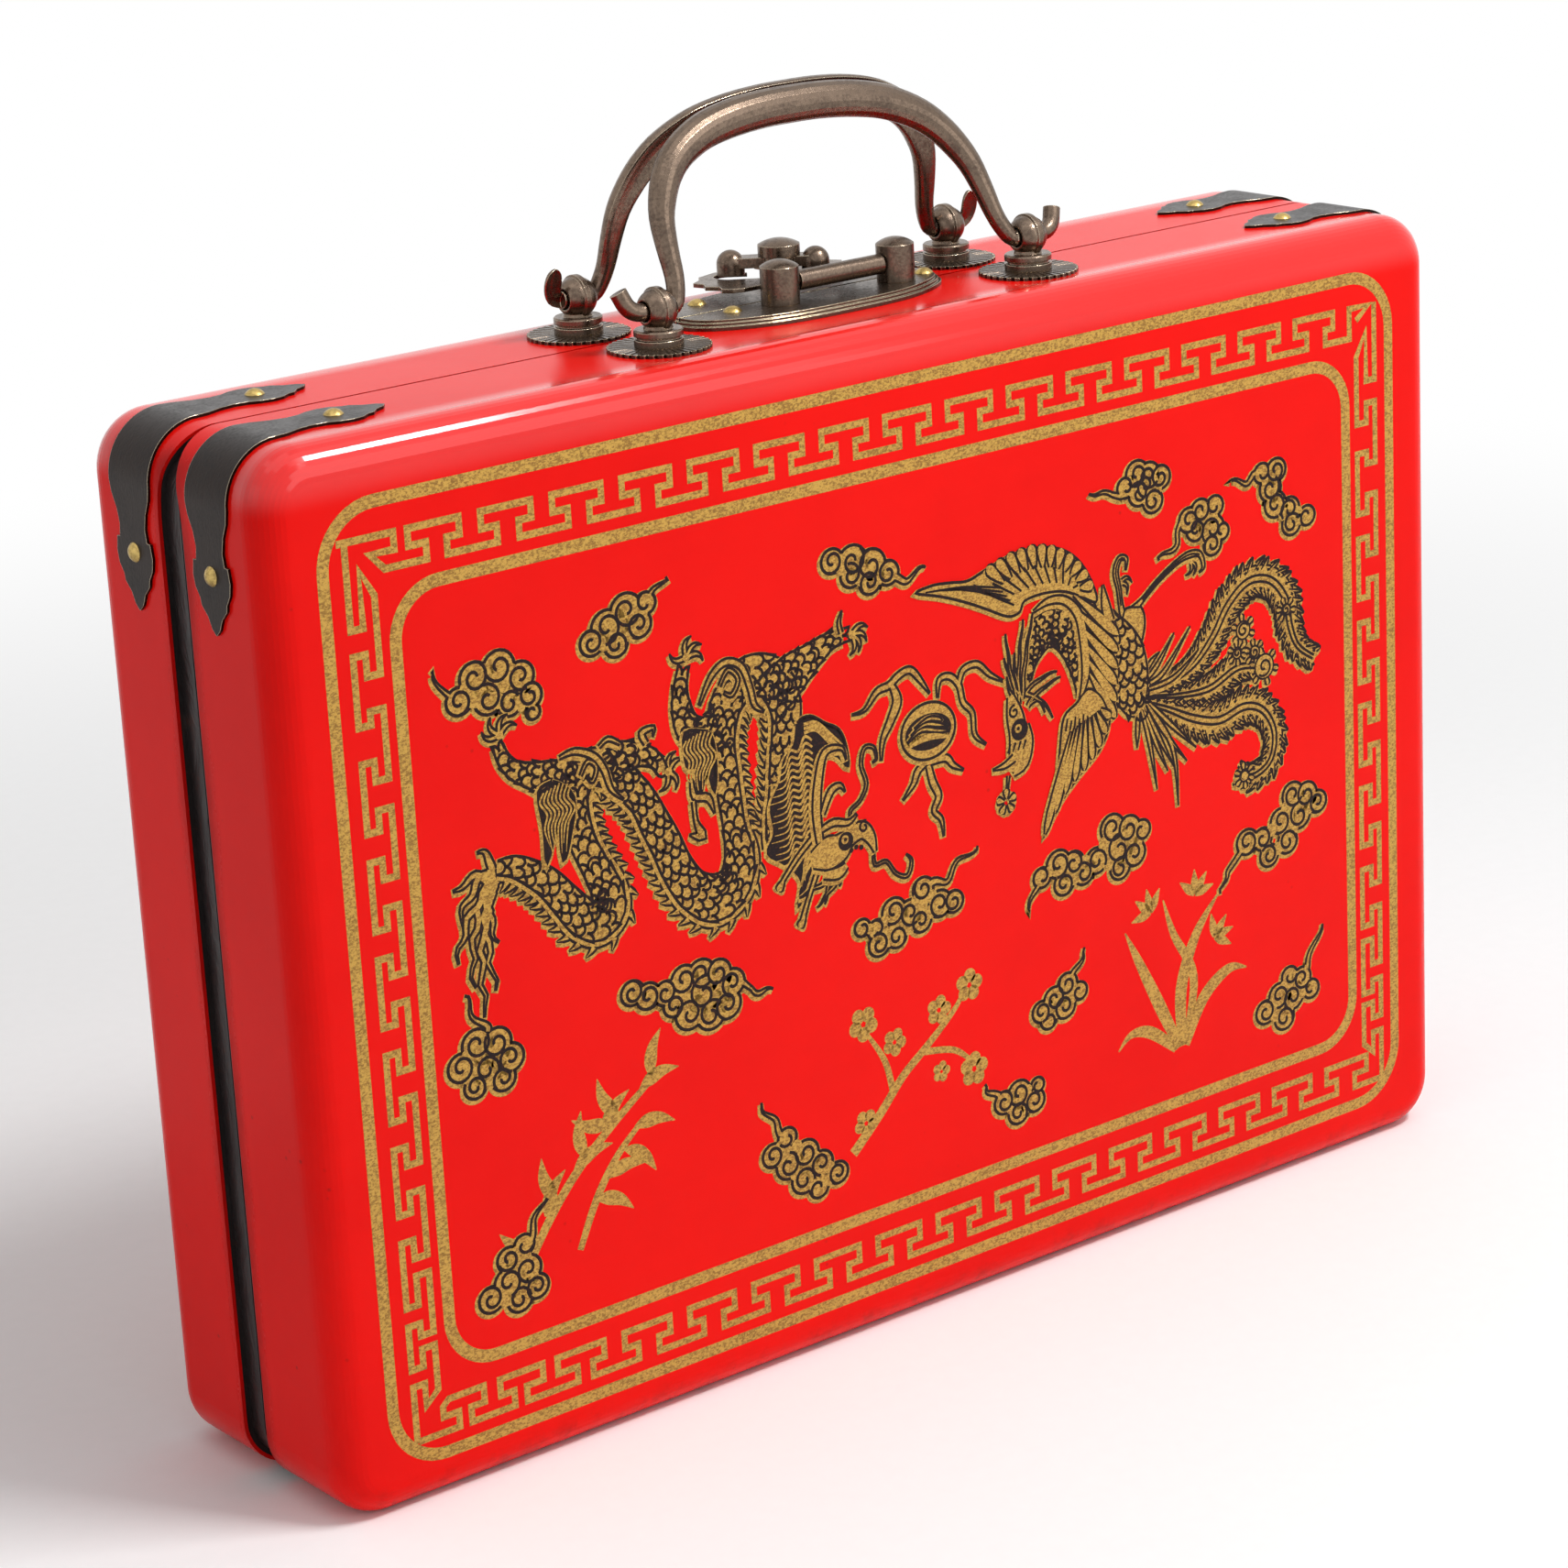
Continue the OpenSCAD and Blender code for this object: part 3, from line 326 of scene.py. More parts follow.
# The print on the broad faces, in flat layers. Places on a face are (x, z) in mm, and a third number
# is a width. Lifts in mm keep the print off the lacquer, its layers apart and its shapes apart.
gold = {"light": (194, 152, 68), "dark": (134, 94, 34), "grain": 1500, "specular": 0.3}
ink = {"dark": (28, 18, 18), "light": (70, 34, 26), "grain": 1300, "specular": 0.15, "line": 0.62}
lift = {"sheet": 0.02, "layer": 0.012, "shape": 3e-6}
halo = {"width": 0.95, "shift": (-0.28, -0.38)}
formLayers = (("gold", halo["shift"]), ("ink", (0, 0)), ("gold", (0, 0)))


def goldMaterial():
    m = Maker("goldPrint")
    at = m.place()
    grain = m.noise(m.stretch(at, (1, 1, 1.6)), gold["grain"], 3, 0.7)
    patch = m.noise(at, 55, 3, 0.6)
    share = (grain + patch * 0.08).ramp(0.42, 0.62)
    colour = m.blend(share, tint(*gold["dark"]), tint(*gold["light"]))
    return m.finish(colour=colour, rough=grain * 0.3 + 0.36, specular=gold["specular"],
                    normal=m.bump(grain, 0.00006, 0.6))


def inkMaterial():
    m = Maker("inkPrint")
    at = m.place()
    grain = m.noise(at, ink["grain"], 3, 0.7)
    colour = m.blend(grain.ramp(0.5, 0.75), tint(*ink["dark"]), tint(*ink["light"]))
    return m.finish(colour=colour, rough=grain * 0.2 + 0.4, specular=ink["specular"],
                    normal=m.bump(grain, 0.00004, 0.5))


printInks = {"gold": goldMaterial(), "ink": inkMaterial()}


def bearing(angle):  # (x, z) one mm out at an angle in degrees
    return math.cos(math.radians(angle)), math.sin(math.radians(angle))


def span(p, q):
    return Vector((q[0] - p[0], q[1] - p[1]))


def leftOf(way):
    return Vector((-way.y, way.x))


def curve(points, steps):  # a smooth line through the points
    ends = [points[0], *points, points[-1]]
    line = []
    for a, b, c, d in zip(ends, ends[1:], ends[2:], ends[3:]):
        for k in range(steps):
            t = k / steps
            line.append(tuple(0.5 * (2 * q + (r - p) * t + (2 * p - 5 * q + 4 * r - s) * t * t
                                     + (3 * q - p - 3 * r + s) * t ** 3) for p, q, r, s in zip(a, b, c, d)))
    return line + [points[-1]]


def sized(points, *widths):  # points with their widths
    return [(*p, w) for p, w in zip(points, widths)]


def closedCurve(outline):
    return curve([(*p, 1.0) for p in outline + outline[:2]], 4)[4:]


def frames(line):  # (point, tangent, left-hand normal, stretch at a corner)
    for i, p in enumerate(line):
        before, after = line[max(i - 1, 0)], line[min(i + 1, len(line) - 1)]
        first = span(before, p) if i else span(p, after)
        last = span(p, after) if after is not p else first
        first, last = first.normalized(), last.normalized()
        along = (first + last).normalized() if (first + last).length > 1e-6 else first
        yield p, along, leftOf(along), 1 / max(0.5, along.dot(first))


def walk(line, step):  # evenly spaced (x, z, width) with tangent and normal
    left = 0
    spots = list(frames(line))
    for (p, along, side, _), (q, *_) in zip(spots, spots[1:]):
        length = math.dist(p[:2], q[:2])
        while left < length:
            t = left / length
            yield tuple(a + (b - a) * t for a, b in zip(p, q)), along, side
            left += step
        left -= length


class Sheet:  # a printed piece, with a mesh for each paint, on the front or rear face
    def __init__(self, name, turned):
        self.name, self.turned, self.parts, self.count = name, turned, {}, 0
        self.body = "rear_half" if turned else "front_half"

    def fill(self, layer, paint, outline):
        verts, faces = self.parts.setdefault(paint, ([], []))
        self.count += 1  # no two shapes lie at one height
        y = faceOut + lift["sheet"] + layer * lift["layer"] + self.count * lift["shape"]
        start = len(verts)
        for x, z in outline:
            verts.append((x, -y, z) if not self.turned else (-x, y, z))
        faces.append(tuple(range(start, start + len(outline))))

    def stroke(self, layer, paint, line, width=None, grow=0.0, shift=(0, 0)):
        edges = []
        for p, _, side, corner in frames(line):
            half = max(0.0, ((width or p[2]) + grow) / 2) * corner
            at = Vector(p[:2]) + Vector(shift)
            edges.append((at + side * half, at - side * half, half))
        for (a, b, w), (c, d, v) in zip(edges, edges[1:]):
            if w > 0.02 or v > 0.02:
                self.fill(layer, paint, [tuple(a), tuple(b), tuple(d), tuple(c)])

    def disc(self, layer, paint, x, z, r, tall=1.0, n=22):
        if r > 0:
            turns = [2 * math.pi * i / n for i in range(n)]
            self.fill(layer, paint, [(x + r * math.cos(a), z + r * tall * math.sin(a)) for a in turns])

    def discs(self, layer, rows):  # one disc on another
        for k, row in enumerate(rows):
            self.disc(layer + k, *row)

    def form(self, line, layer, rim=0.5):  # a gold form with an inked edge and a gold halo
        grows = rim + halo["width"], rim, rim - 2 * ink["line"]
        for k, ((paint, shift), grow) in enumerate(zip(formLayers, grows)):
            self.stroke(layer + k, paint, line, grow=grow, shift=shift)

    def brush(self, points, steps, layer, rim):
        self.form(curve(points, steps), layer, rim)

    def fillForm(self, outline, layer):  # an outlined gold shape
        loop = closedCurve(outline)
        inside = [p[:2] for p in loop[:-4]]
        self.stroke(layer, "gold", loop, 1.6, shift=halo["shift"])
        self.fill(layer, "gold", inside)
        self.stroke(layer + 1, "ink", loop, 0.8)
        self.fill(layer + 2, "gold", inside)
        self.stroke(layer + 3, "ink", loop, 0.55)

    def petal(self, root, tip, wide, layer, rim=0.35):
        way = span(root, tip)
        shape = (0, 0.35), (0.3, 0.7), (0.6, 0.95), (0.8, 1), (0.92, 0.78), (1, 0.3)
        self.form([(root[0] + way.x * t, root[1] + way.y * t, wide * w) for t, w in shape], layer, rim)

    def spiral(self, x, z, r, start, turns, layer, width=0.6):
        n = int(14 * abs(turns)) + 4
        line = []
        for i in range(n):
            t = i / (n - 1)
            a = math.radians(start) + 2 * math.pi * turns * t
            line.append((x + r * (1 - 0.8 * t) * math.cos(a), z + r * (1 - 0.8 * t) * math.sin(a), width))
        self.stroke(layer, "ink", line)

    def scales(self, line, layer, band, pitch):  # staggered rows of arcs across the line
        for k, ((x, z, w), along, side) in enumerate(walk(line, pitch * 0.85)):
            low, high = -w / 2 + band, w / 2 - 0.1
            lanes = max(1, round((high - low) / pitch))
            lane = (high - low) / lanes
            for j in range(lanes + k % 2):
                middle = low + (j + 0.5 - 0.5 * (k % 2)) * lane
                uneven = 0.35 * math.sin(7.3 * j + 4.1 * k)
                arc = []
                for a in range(0, 181, 30):
                    across, onward = bearing(a)
                    off = min(high, max(low, middle + (lane / 2 + 0.1) * across))
                    ahead = pitch * (0.8 + uneven * 0.3) * onward + uneven
                    arc.append((x + side.x * off + along.x * ahead, z + side.y * off + along.y * ahead, 0.7))
                self.stroke(layer + 3, "ink", arc)

    def teeth(self, line, layer, band):  # a line inside one edge, and a tooth every 2.5 mm
        self.stroke(layer + 3, "ink", [(x - side.x * (w / 2 - band), z - side.y * (w / 2 - band), 0.6)
                                       for (x, z, w), _, side in walk(line, 1.0)])
        for (x, z, w), along, side in walk(line, 2.5):
            foot = Vector((x, z)) - side * (w / 2 - 0.3)
            tip = foot - side * 2.3 - along * 1.6
            if all((Vector(q[:2]) - tip).length > q[2] / 2 for q in line):
                points = foot + along * 0.2, (foot + tip) / 2 + along * 0.3, tip
                self.form(sized(points, 2.2, 1.4, 0.2), layer - 1 if layer else 0, 0.25)

    def scaled(self, points, fin=False, pitch=2.6, steps=6, layer=0):
        line = curve(points, steps)
        band = 1.5 if fin else 0.2
        self.form(line, layer)
        self.scales(line, layer, band, pitch)
        if fin:
            self.teeth(line, layer, band)

    def mass(self, outline, lines, layer):  # dark hair with gold strands drawn in it
        loop = closedCurve(outline)
        self.stroke(layer - 1, "gold", loop, 2.0, shift=halo["shift"])
        self.fill(layer, "ink", [p[:2] for p in loop[:-4]])
        self.stroke(layer, "ink", loop, 0.9)
        for line in lines:
            self.stroke(layer + 1, "gold", curve(line, 5))

    def strands(self, root, tips, bend, wide, wave, layer=1):
        for i, tip in enumerate(tips):
            start = Vector(root[i % len(root)])
            way = Vector(tip) - start
            side = leftOf(way) / max(way.length, 1e-6)
            line = []
            for k in range(13):
                t = k / 12
                rise = bend * 4 * t * (1 - t) + wave * math.sin(t * way.length * 0.9 + i)
                at = start + way * t + side * rise
                line.append((at.x, at.y, wide * (1 - 0.75 * t * t)))
            self.form(line, layer, 0.3)

    def claw(self, x, z, turns, length=4.2, wide=1.5):
        root = Vector((x, z))
        for a in turns:
            out = Vector(bearing(a))
            side = leftOf(out)
            points = ((x, z), root + out * length * 0.5 + side * 0.5, root + out * length * 0.85,
                      root + out * length * 1.05 - side * 1.3)
            self.brush(sized(points, wide, wide * 0.95, wide * 0.6, 0.15), 3, 1, 0.3)
        self.disc(4, "gold", x, z, wide * 0.6)

    def puff(self, lobes, tail, flow):
        for layer, ((paint, shift), grow) in enumerate(zip(formLayers, (0.85, 0.35, -0.45))):
            for x, z, r in lobes:
                self.disc(layer, paint, x + shift[0], z + shift[1], r + grow, 0.92)
        core = sum((Vector(p[:2]) for p in lobes), Vector((0, 0))) / len(lobes)
        for i, (x, z, r) in enumerate(lobes):  # a hook curls in from each lobe's inner edge
            at = Vector((x, z))
            for u, v, q in lobes:
                between = (at + Vector((u, v))) / 2
                if (Vector((u, v)) - at).length < r + q + 1.5:
                    self.disc(2.2, "gold", between.x, between.y, min(r, q) * 0.55, 1, 10)
            turn = flow if i % 2 else -flow
            inward = core - at
            start = math.degrees(math.atan2(inward.y, inward.x)) - 95 * turn
            self.spiral(x, z, r * 0.9, start, turn * (1.15 if r > 2.6 else 0.6), 3, 0.75)
        line = curve(tail, 7)
        for k in range(1, len(line) - 1):  # the tail waves
            x, z, w = line[k]
            line[k] = (x + 0.7 * math.sin(z * 0.9), z + 0.7 * math.sin(x * 0.8), w)
        self.form(line, 0, 0.4)

    def done(self):
        for paint, (verts, faces) in self.parts.items():
            mesh = bpy.data.meshes.new(self.name + "_" + paint)
            mesh.from_pydata([tuple(c * mm for c in v) for v in verts], [], faces)
            mesh.materials.append(printInks[paint])
            obj = addObject(self.name + "_" + paint, mesh)
            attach(obj, self.body)


# The border: two lines, each (x, z, half sizes, corner, width), with a fret between them.
# The fret's levels run from top to bottom, and at the sides from the outer line to the inner one.
border = {
    "outer": (-0.9, 111.7, 146.1, 100.9, 12.7, 2.75),
    "inner": (-0.35, 111.2, 131.3, 82.9, 11, 2.8), "fret": 1.55, "lean": 0.0044, "period": 17.3,
    "units": 15, "start": -127.0, "top": (205.6, 202.1, 198.7), "bottom": (22.3, 18.7, 15.3),
    "left": (-141.7, -138.8, -135.7), "right": (140.6, 137.8, 134.7), "sidePeriod": 20.3, "lowPeriod": 17.5,
    "lowStart": -105.8,
}


def roundLine(x, z, halfX, halfZ, r, width):
    line = []
    for cx, cz, start in ((1, 1, 0), (-1, 1, 90), (-1, -1, 180), (1, -1, 270)):
        for a in range(start, start + 91, 9):
            turnX, turnZ = bearing(a)
            line.append((x + cx * (halfX - r) + r * turnX, z + cz * (halfZ - r) + r * turnZ, width))
    return line + [line[0], line[1]]


def lean(line):  # the border sits slightly turned on its face
    return [(p[0], p[1] + p[0] * border["lean"], *p[2:]) for p in line]


def route(x, z, *turns):  # corners of a line that turns square, first along z
    line = [(x, z)]
    for k, turn in enumerate(turns):
        x, z = (turn, z) if k % 2 else (x, turn)
        line.append((x, z))
    return line


def fretBand(levels, x0, units, period):  # one run of the fret along x
    high, mid, low = levels
    line = []
    for i in range(units):
        x = x0 + period * i
        line += route(x, mid, high, x + 12.1, mid, x + 9.0, low, x + 21.0, mid)
    return line


def topFret():
    high, mid, low = border["top"]
    start, period, units = border["start"], border["period"], border["units"] - 1
    end = start + period * units
    line = [(-143.5, high), *route(-130.3, high, mid, -136), (-132.8, low), *route(start + 4.1, low, mid)]
    line += fretBand(border["top"], start, units, period)
    line += route(end, mid, high, end + 12.1, mid, end + 9.6, low, 132.6, high, 138.8)
    return line + [(134.8, 202.6)]


def bottomFret():
    high, mid, low = border["bottom"]
    line = [(-141.3, low), *route(-131.1, low, mid, -134.9, high - 1.3), (-133.4, high)]
    line += route(-124.6, high, mid, -128, low, -117.1, mid, -120.5, high)
    line += route(-109.6, high, mid, -113.9, low, -100.8, mid)
    line += fretBand(border["bottom"], border["lowStart"], border["units"] - 2, border["lowPeriod"])
    return line + route(121.8, mid, high, 135.4, mid, 131.3, low, 141.5)


def sideFret(levels):
    outer, mid, inner = levels
    line = route(outer, 206, 188, mid, 199.5) + route(inner, 194, 178.2, mid, 182.7, outer, 168.4, mid)
    for i in range(1, 7):
        z = 182.7 - border["sidePeriod"] * (i - 0.43)
        line += [(mid, z), *route(inner, z, z - 14.3, mid, z - 10.2, outer, z - 24.5, mid)]
    line += [(mid, 51.5), *route(inner, 51.5, 38.2, mid, 41, outer, 31.4, mid, 35.3, inner, 25.3)]
    return line + route(mid, 22.6, 27.6, outer, 15)


def makeBorder(sheet):
    for line in ("outer", "inner"):
        sheet.stroke(0, "gold", lean(roundLine(*border[line])))
    for line in (topFret(), bottomFret(), sideFret(border["left"]), sideFret(border["right"])):
        sheet.stroke(0, "gold", lean(line), border["fret"])


# The dragon: a scaled body from tail to neck, legs, hair and head. A row of the face starts with
# the steps of its curve, its layer and its rim.
dragon = {
    "body": [
        (-112, 131, 4.5), (-108, 130.3, 6), (-104, 128, 7), (-100, 124.8, 7.8), (-96, 120, 8.6),
        (-92.5, 116, 9.6), (-88, 113.8, 10.6), (-84.5, 115.8, 10.4), (-84.6, 120.5, 9.2), (-87, 126, 8),
        (-89.3, 131, 7.8), (-91, 136.5, 8.4), (-91.5, 142, 9.5), (-88.5, 146.3, 9.5), (-83.5, 145.5, 9.5),
        (-79.3, 141.5, 8.6), (-75.5, 137, 8.2), (-73, 132, 8.8), (-70.3, 126.5, 9.2), (-67.5, 120, 9.4),
        (-63.5, 114.2, 10.2), (-57.5, 111, 12), (-52, 113, 11), (-50, 118.5, 9.6), (-50.8, 125, 7.4),
        (-51.5, 131, 7.4), (-52.3, 138, 7.8), (-53, 145, 8.6), (-51.5, 152, 10), (-46.5, 156.5, 10.5),
        (-40.5, 155.5, 10.5), (-37.3, 150, 9.8), (-37.2, 144.5, 9), (-38.8, 138, 7.8), (-39.8, 131, 7.2),
        (-41.3, 125, 6.6), (-41.5, 119, 6)],
    "legs": [
        [(-91, 145, 9), (-97, 147, 8), (-102, 149, 5.5), (-106, 151, 4), (-108.5, 154, 3.2),
         (-109.5, 157, 2.6)],
        [(-84, 147, 9), (-79, 147.5, 7), (-74.5, 147, 5), (-71, 145, 3.6), (-69.5, 142.5, 3)],
        [(-53, 149, 10), (-58, 147.5, 8), (-62, 150, 6.5), (-63.5, 154.5, 5), (-63.5, 159, 3.6),
         (-62.5, 162.5, 3)],
        [(-40, 152, 11), (-34, 155.5, 9.5), (-29, 158, 6.5), (-24, 160.3, 4.2), (-20, 160.8, 3.2)]],
    "curls": [
        [(-95, 151, 1), (-91, 151.5, 1.6), (-86.5, 149.5, 1.8), (-84, 146, 1.8), (-82.5, 141.5, 1.4),
         (-79.5, 138.5, 0.5)],
        [(-90, 146, 1), (-88, 148.6, 1.2), (-85.9, 147, 1.2), (-87, 144.3, 1.1), (-88.5, 145.5, 0.6)],
        [(-85, 151, 1), (-82.5, 152.2, 1.3), (-79.5, 150.5, 1)],
        [(-59, 154, 0.8), (-55.5, 159.5, 1.6), (-51.5, 161.8, 1.8), (-47.5, 160, 1.8), (-45.5, 155, 1.7),
         (-44.5, 151, 1.5), (-42, 149, 0.6)],
        [(-53.5, 157, 1), (-51, 160, 1.2), (-48.5, 157.5, 1.2), (-50.3, 154.5, 1.2), (-52.5, 155.5, 0.8)]],
    "claws": [
        (-109, 159, (30, 75, 130, 175)), (-67.8, 141.8, (35, 75, 250, 305)),
        (-61.5, 165, (-5, 40, 85, 175)), (-17.6, 160.6, (25, -15, -55, -85))],
    "mane": [
        (-34.5, 140), (-33.5, 144.5), (-30, 145.3), (-26, 142.8), (-22.5, 140.7), (-20.8, 137),
        (-20.4, 132.3), (-23, 135), (-26, 136), (-28.5, 134), (-29, 128), (-29.5, 122), (-31, 116),
        (-31.5, 109), (-35.5, 104.5), (-34.5, 110), (-38.5, 114.5), (-43, 118), (-41, 122), (-41.5, 128),
        (-38.5, 133), (-37.5, 137)],
    "beard": [
        (-100.5, 145), (-97, 146.5), (-92, 142), (-93.5, 134), (-95.5, 129.5), (-96.5, 137), (-99.5, 130),
        (-99.8, 137)],
    "ruff": [
        (-63, 149), (-57, 148), (-55.5, 142), (-56.2, 135), (-58, 140), (-60.3, 134), (-60.8, 141),
        (-63, 142)],
    "tail": (
        [(-113, 131.5), (-113, 129)],
        [(-117, 135.5), (-123, 129), (-121.5, 122), (-123, 114), (-119.5, 108), (-117, 101), (-114, 106),
         (-112.5, 116)]),
    "tufts": [
        [(-62, 139, 1.2), (-61.5, 135, 1.8), (-58, 133.8, 2), (-56.5, 130, 0.5)],
        [(-61.8, 134, 1.4), (-61.5, 129.5, 1.4), (-60.3, 126.2, 2.6), (-63.5, 127, 0.4)],
        [(-20.5, 161.5, 1.4), (-21, 164, 1.2), (-20, 166.5, 0.4)],
        [(-73, 149, 1.6), (-74, 151.5, 1.8), (-71, 152, 1.2), (-71.3, 150, 0.4)]],
    "horns": [
        [(-31, 118.5, 1.6), (-35.5, 115, 1.5), (-40, 110.5, 1.3)],
        [(-30, 111, 1.6), (-32.8, 105.5, 1.4), (-34.8, 101, 1.6)]],
    "chin": ([(-27, 109), (-25, 108)], [(-35.5, 106.5), (-31, 103), (-29, 103), (-24, 106)]),
    "face": [
        (5, 7, 0.35,
         [(-29, 117, 2.2), (-29.5, 124, 2.6), (-28.6, 131, 2.4), (-26.5, 136.5, 2), (-22, 136.5, 1.2),
          (-20.8, 133.5, 0.4)]),
        (4, 6, 0.35, [(-28, 123, 1.6), (-25.5, 127.5, 2), (-22.8, 128.3, 1.4), (-21.5, 126.5, 0.4)]),
        (5, 6, 0.4,
         [(-31.5, 113.5, 4), (-27.5, 114, 7.6), (-24, 114.5, 7), (-21, 116.2, 4.6), (-17.5, 117, 4.2),
          (-15.2, 114.8, 3), (-14, 111.2, 1)]),
        (4, 6, 0.35, [(-28.5, 109.5, 2.2), (-24.5, 109, 3), (-22, 110.2, 1.8)]),
        (4, 7, 0.3, [(-29, 119.5, 1.6), (-25, 120.5, 2), (-21, 119.6, 1.6), (-18.5, 121, 0.8)])],
    "eye": [("ink", -22, 115.6, 2.1), ("gold", -22.2, 116, 1.0), ("ink", -22.1, 116, 0.45)],
    "dots": [(-20.6, 113.2), (-19.2, 113.6), (-17.8, 113.2)],
    "whiskers": [
        [(-20, 119.5, 0.9), (-20.3, 122, 1), (-17.5, 123.7, 1), (-15.6, 127, 1.1), (-16.8, 131.5, 1.1),
         (-15.7, 135, 1.1), (-13.2, 134.6, 1), (-12.5, 132, 0.8), (-13.8, 131.3, 0.5)],
        [(-14.5, 112, 0.9), (-14.2, 108.4, 1), (-11, 108.3, 1), (-8.5, 105, 1), (-5.3, 103.7, 1.1),
         (-4, 106.8, 1), (-5.5, 108.7, 0.4)]],
}


def makeDragon(sheet):
    sheet.strands(*dragon["tail"], -1.9, 2.3, 0.7)
    sheet.scaled(dragon["body"], fin=True)
    for points in dragon["legs"]:  # the limbs' roots lie over the body
        sheet.scaled(points, pitch=2.3, steps=4, layer=0.3)
    for points in dragon["curls"]:
        sheet.brush(points, 5, 4, 0.35)
    for row in dragon["claws"]:
        sheet.claw(*row)
    for name, x, z, low in (("beard", -92.3, 145.8, 131), ("ruff", -55.8, 148.5, 136)):
        hairs = [[(x - k, z - abs(k - 3) * 0.3, 0.4), (x - 1.1 - k, z - 3.2, 0.45),
                  (x + 0.5 - k, z - 6, 0.45), (x - 1.4 - k * 0.85, z - 9, 0.4),
                  (x - 2.4 - k * 0.55, low + (k % 2) * 2, 0.15)] for k in range(8)]
        sheet.mass(dragon[name], hairs, 4)
    for points in dragon["tufts"]:
        sheet.brush(points, 4, 3, 0.3)
    locks = [[(-29.8, 140 - k * 1.5, 0.5), (-31.8, 141.2 - k * 1.5, 0.6), (-33.6, 138.4 - k * 1.46, 0.6),
              (-35.8, 139 - k * 1.46, 0.5), (-37.6, 136 - k * 1.44, 0.4),
              (-40 - (k % 3), 135.5 - k * 1.42, 0.15)] for k in range(16)]
    locks += [[(-31.8, 142 + k * 0.95, 0.7), (-28.5, 142 + k * 0.8, 0.85), (-25, 138.4 + k, 0.8),
               (-21.6, 135 + k * 1.1, 0.3)] for k in range(3)]
    locks += [[(-31.6, 117 - k * 2, 0.8), (-33.5, 113 - k, 0.8), (-33.6 - k, 109.5 - k, 0.3)]
              for k in range(3)]
    sheet.mass(dragon["mane"], locks, 4)
    for points in dragon["horns"]:  # each ends in a knob
        x, z, _ = points[-1]
        sheet.brush(points, 4, 5, 0.35)
        sheet.petal((x + 0.8, z + 0.8), (x - 1, z - 1.6), 2.4, 5)
    sheet.strands(*dragon["chin"], 0.8, 1.3, 0.4, 4)
    for steps, layer, rim, points in dragon["face"]:
        sheet.brush(points, steps, layer, rim)
    sheet.discs(10, dragon["eye"])
    for x, z in dragon["dots"]:
        sheet.disc(10, "ink", x, z, 0.6)
    sheet.spiral(-16.8, 117.6, 1.5, 60, 1.1, 10)
    for points in dragon["whiskers"]:
        sheet.brush(points, 5, 4, 0.3)


# The ball between them, with ribbons
pearl = {
    "centre": (2.3, 134.8), "size": (7.8, 6.5),
    "ribbons": [
        [(-18.7, 143, 0.4), (-15, 143.4, 1), (-11.5, 146.6, 1.7), (-8, 147.3, 1.9), (-5, 149, 1.9),
         (-2, 149.4, 1.8), (0.5, 146.8, 1.5), (3.2, 143, 0.5)],
        [(-7.5, 147.5, 1.6), (-6, 143.5, 2.6), (-8, 139.5, 2.3), (-10.5, 135.5, 1.5), (-11.2, 131, 0.7)],
        [(5.3, 141.5, 0.6), (6, 145.4, 1.5), (9, 145.6, 1.7), (11.5, 143, 1.7), (12.5, 139, 1.6),
         (15, 136, 1.5), (15.5, 131, 1.3), (18.7, 128, 0.5)],
        [(11.5, 143.5, 1.5), (13, 146.3, 1.7), (17, 146.6, 1.6), (20.5, 143.5, 1.3), (25, 140.8, 0.4)],
        [(2, 128, 1.4), (-1, 126.5, 1.9), (-2.5, 123.8, 1.5), (-5.7, 120.8, 0.5)],
        [(2, 127, 1.8), (3, 123, 2.1), (4.5, 119.5, 1.9), (3, 116.5, 1.5), (5, 114, 1.3), (5.5, 110, 0.5)],
        [(3, 127.6, 1.6), (7, 127.6, 1.9), (9, 125.5, 1.5), (12, 123.7, 0.5)]],
}


def makePearl(sheet):
    for line in pearl["ribbons"]:
        sheet.brush(line, 6, 0, 0.4)
    (x, z), (wide, tall) = pearl["centre"], pearl["size"]
    for layer, ((paint, shift), grow) in enumerate(zip(formLayers, (0.7, 0.2, -0.5)), 3):
        sheet.disc(layer, paint, x + shift[0], z + shift[1], wide + grow, (tall + grow) / (wide + grow), 40)
    sheet.disc(6, "ink", x, z - 0.2, wide * 0.84, 0.62, 36)
    for k in range(3):
        sheet.brush([(x - 6 + k, z - 1.5 + k * 1.4, 0.5), (x - 2 + k, z + 0.6 + k, 1.3),
                     (x + 3, z - 0.6 + k * 1.3, 1.3), (x + 6 - k, z - 1.2 + k * 1.2, 0.5)], 5, 6, 0.3)
    sheet.stroke(9, "gold", curve([(x - 6, z - 2.6, 0.5), (x, z - 1.4, 1.5), (x + 6, z - 2.6, 0.5)], 6))


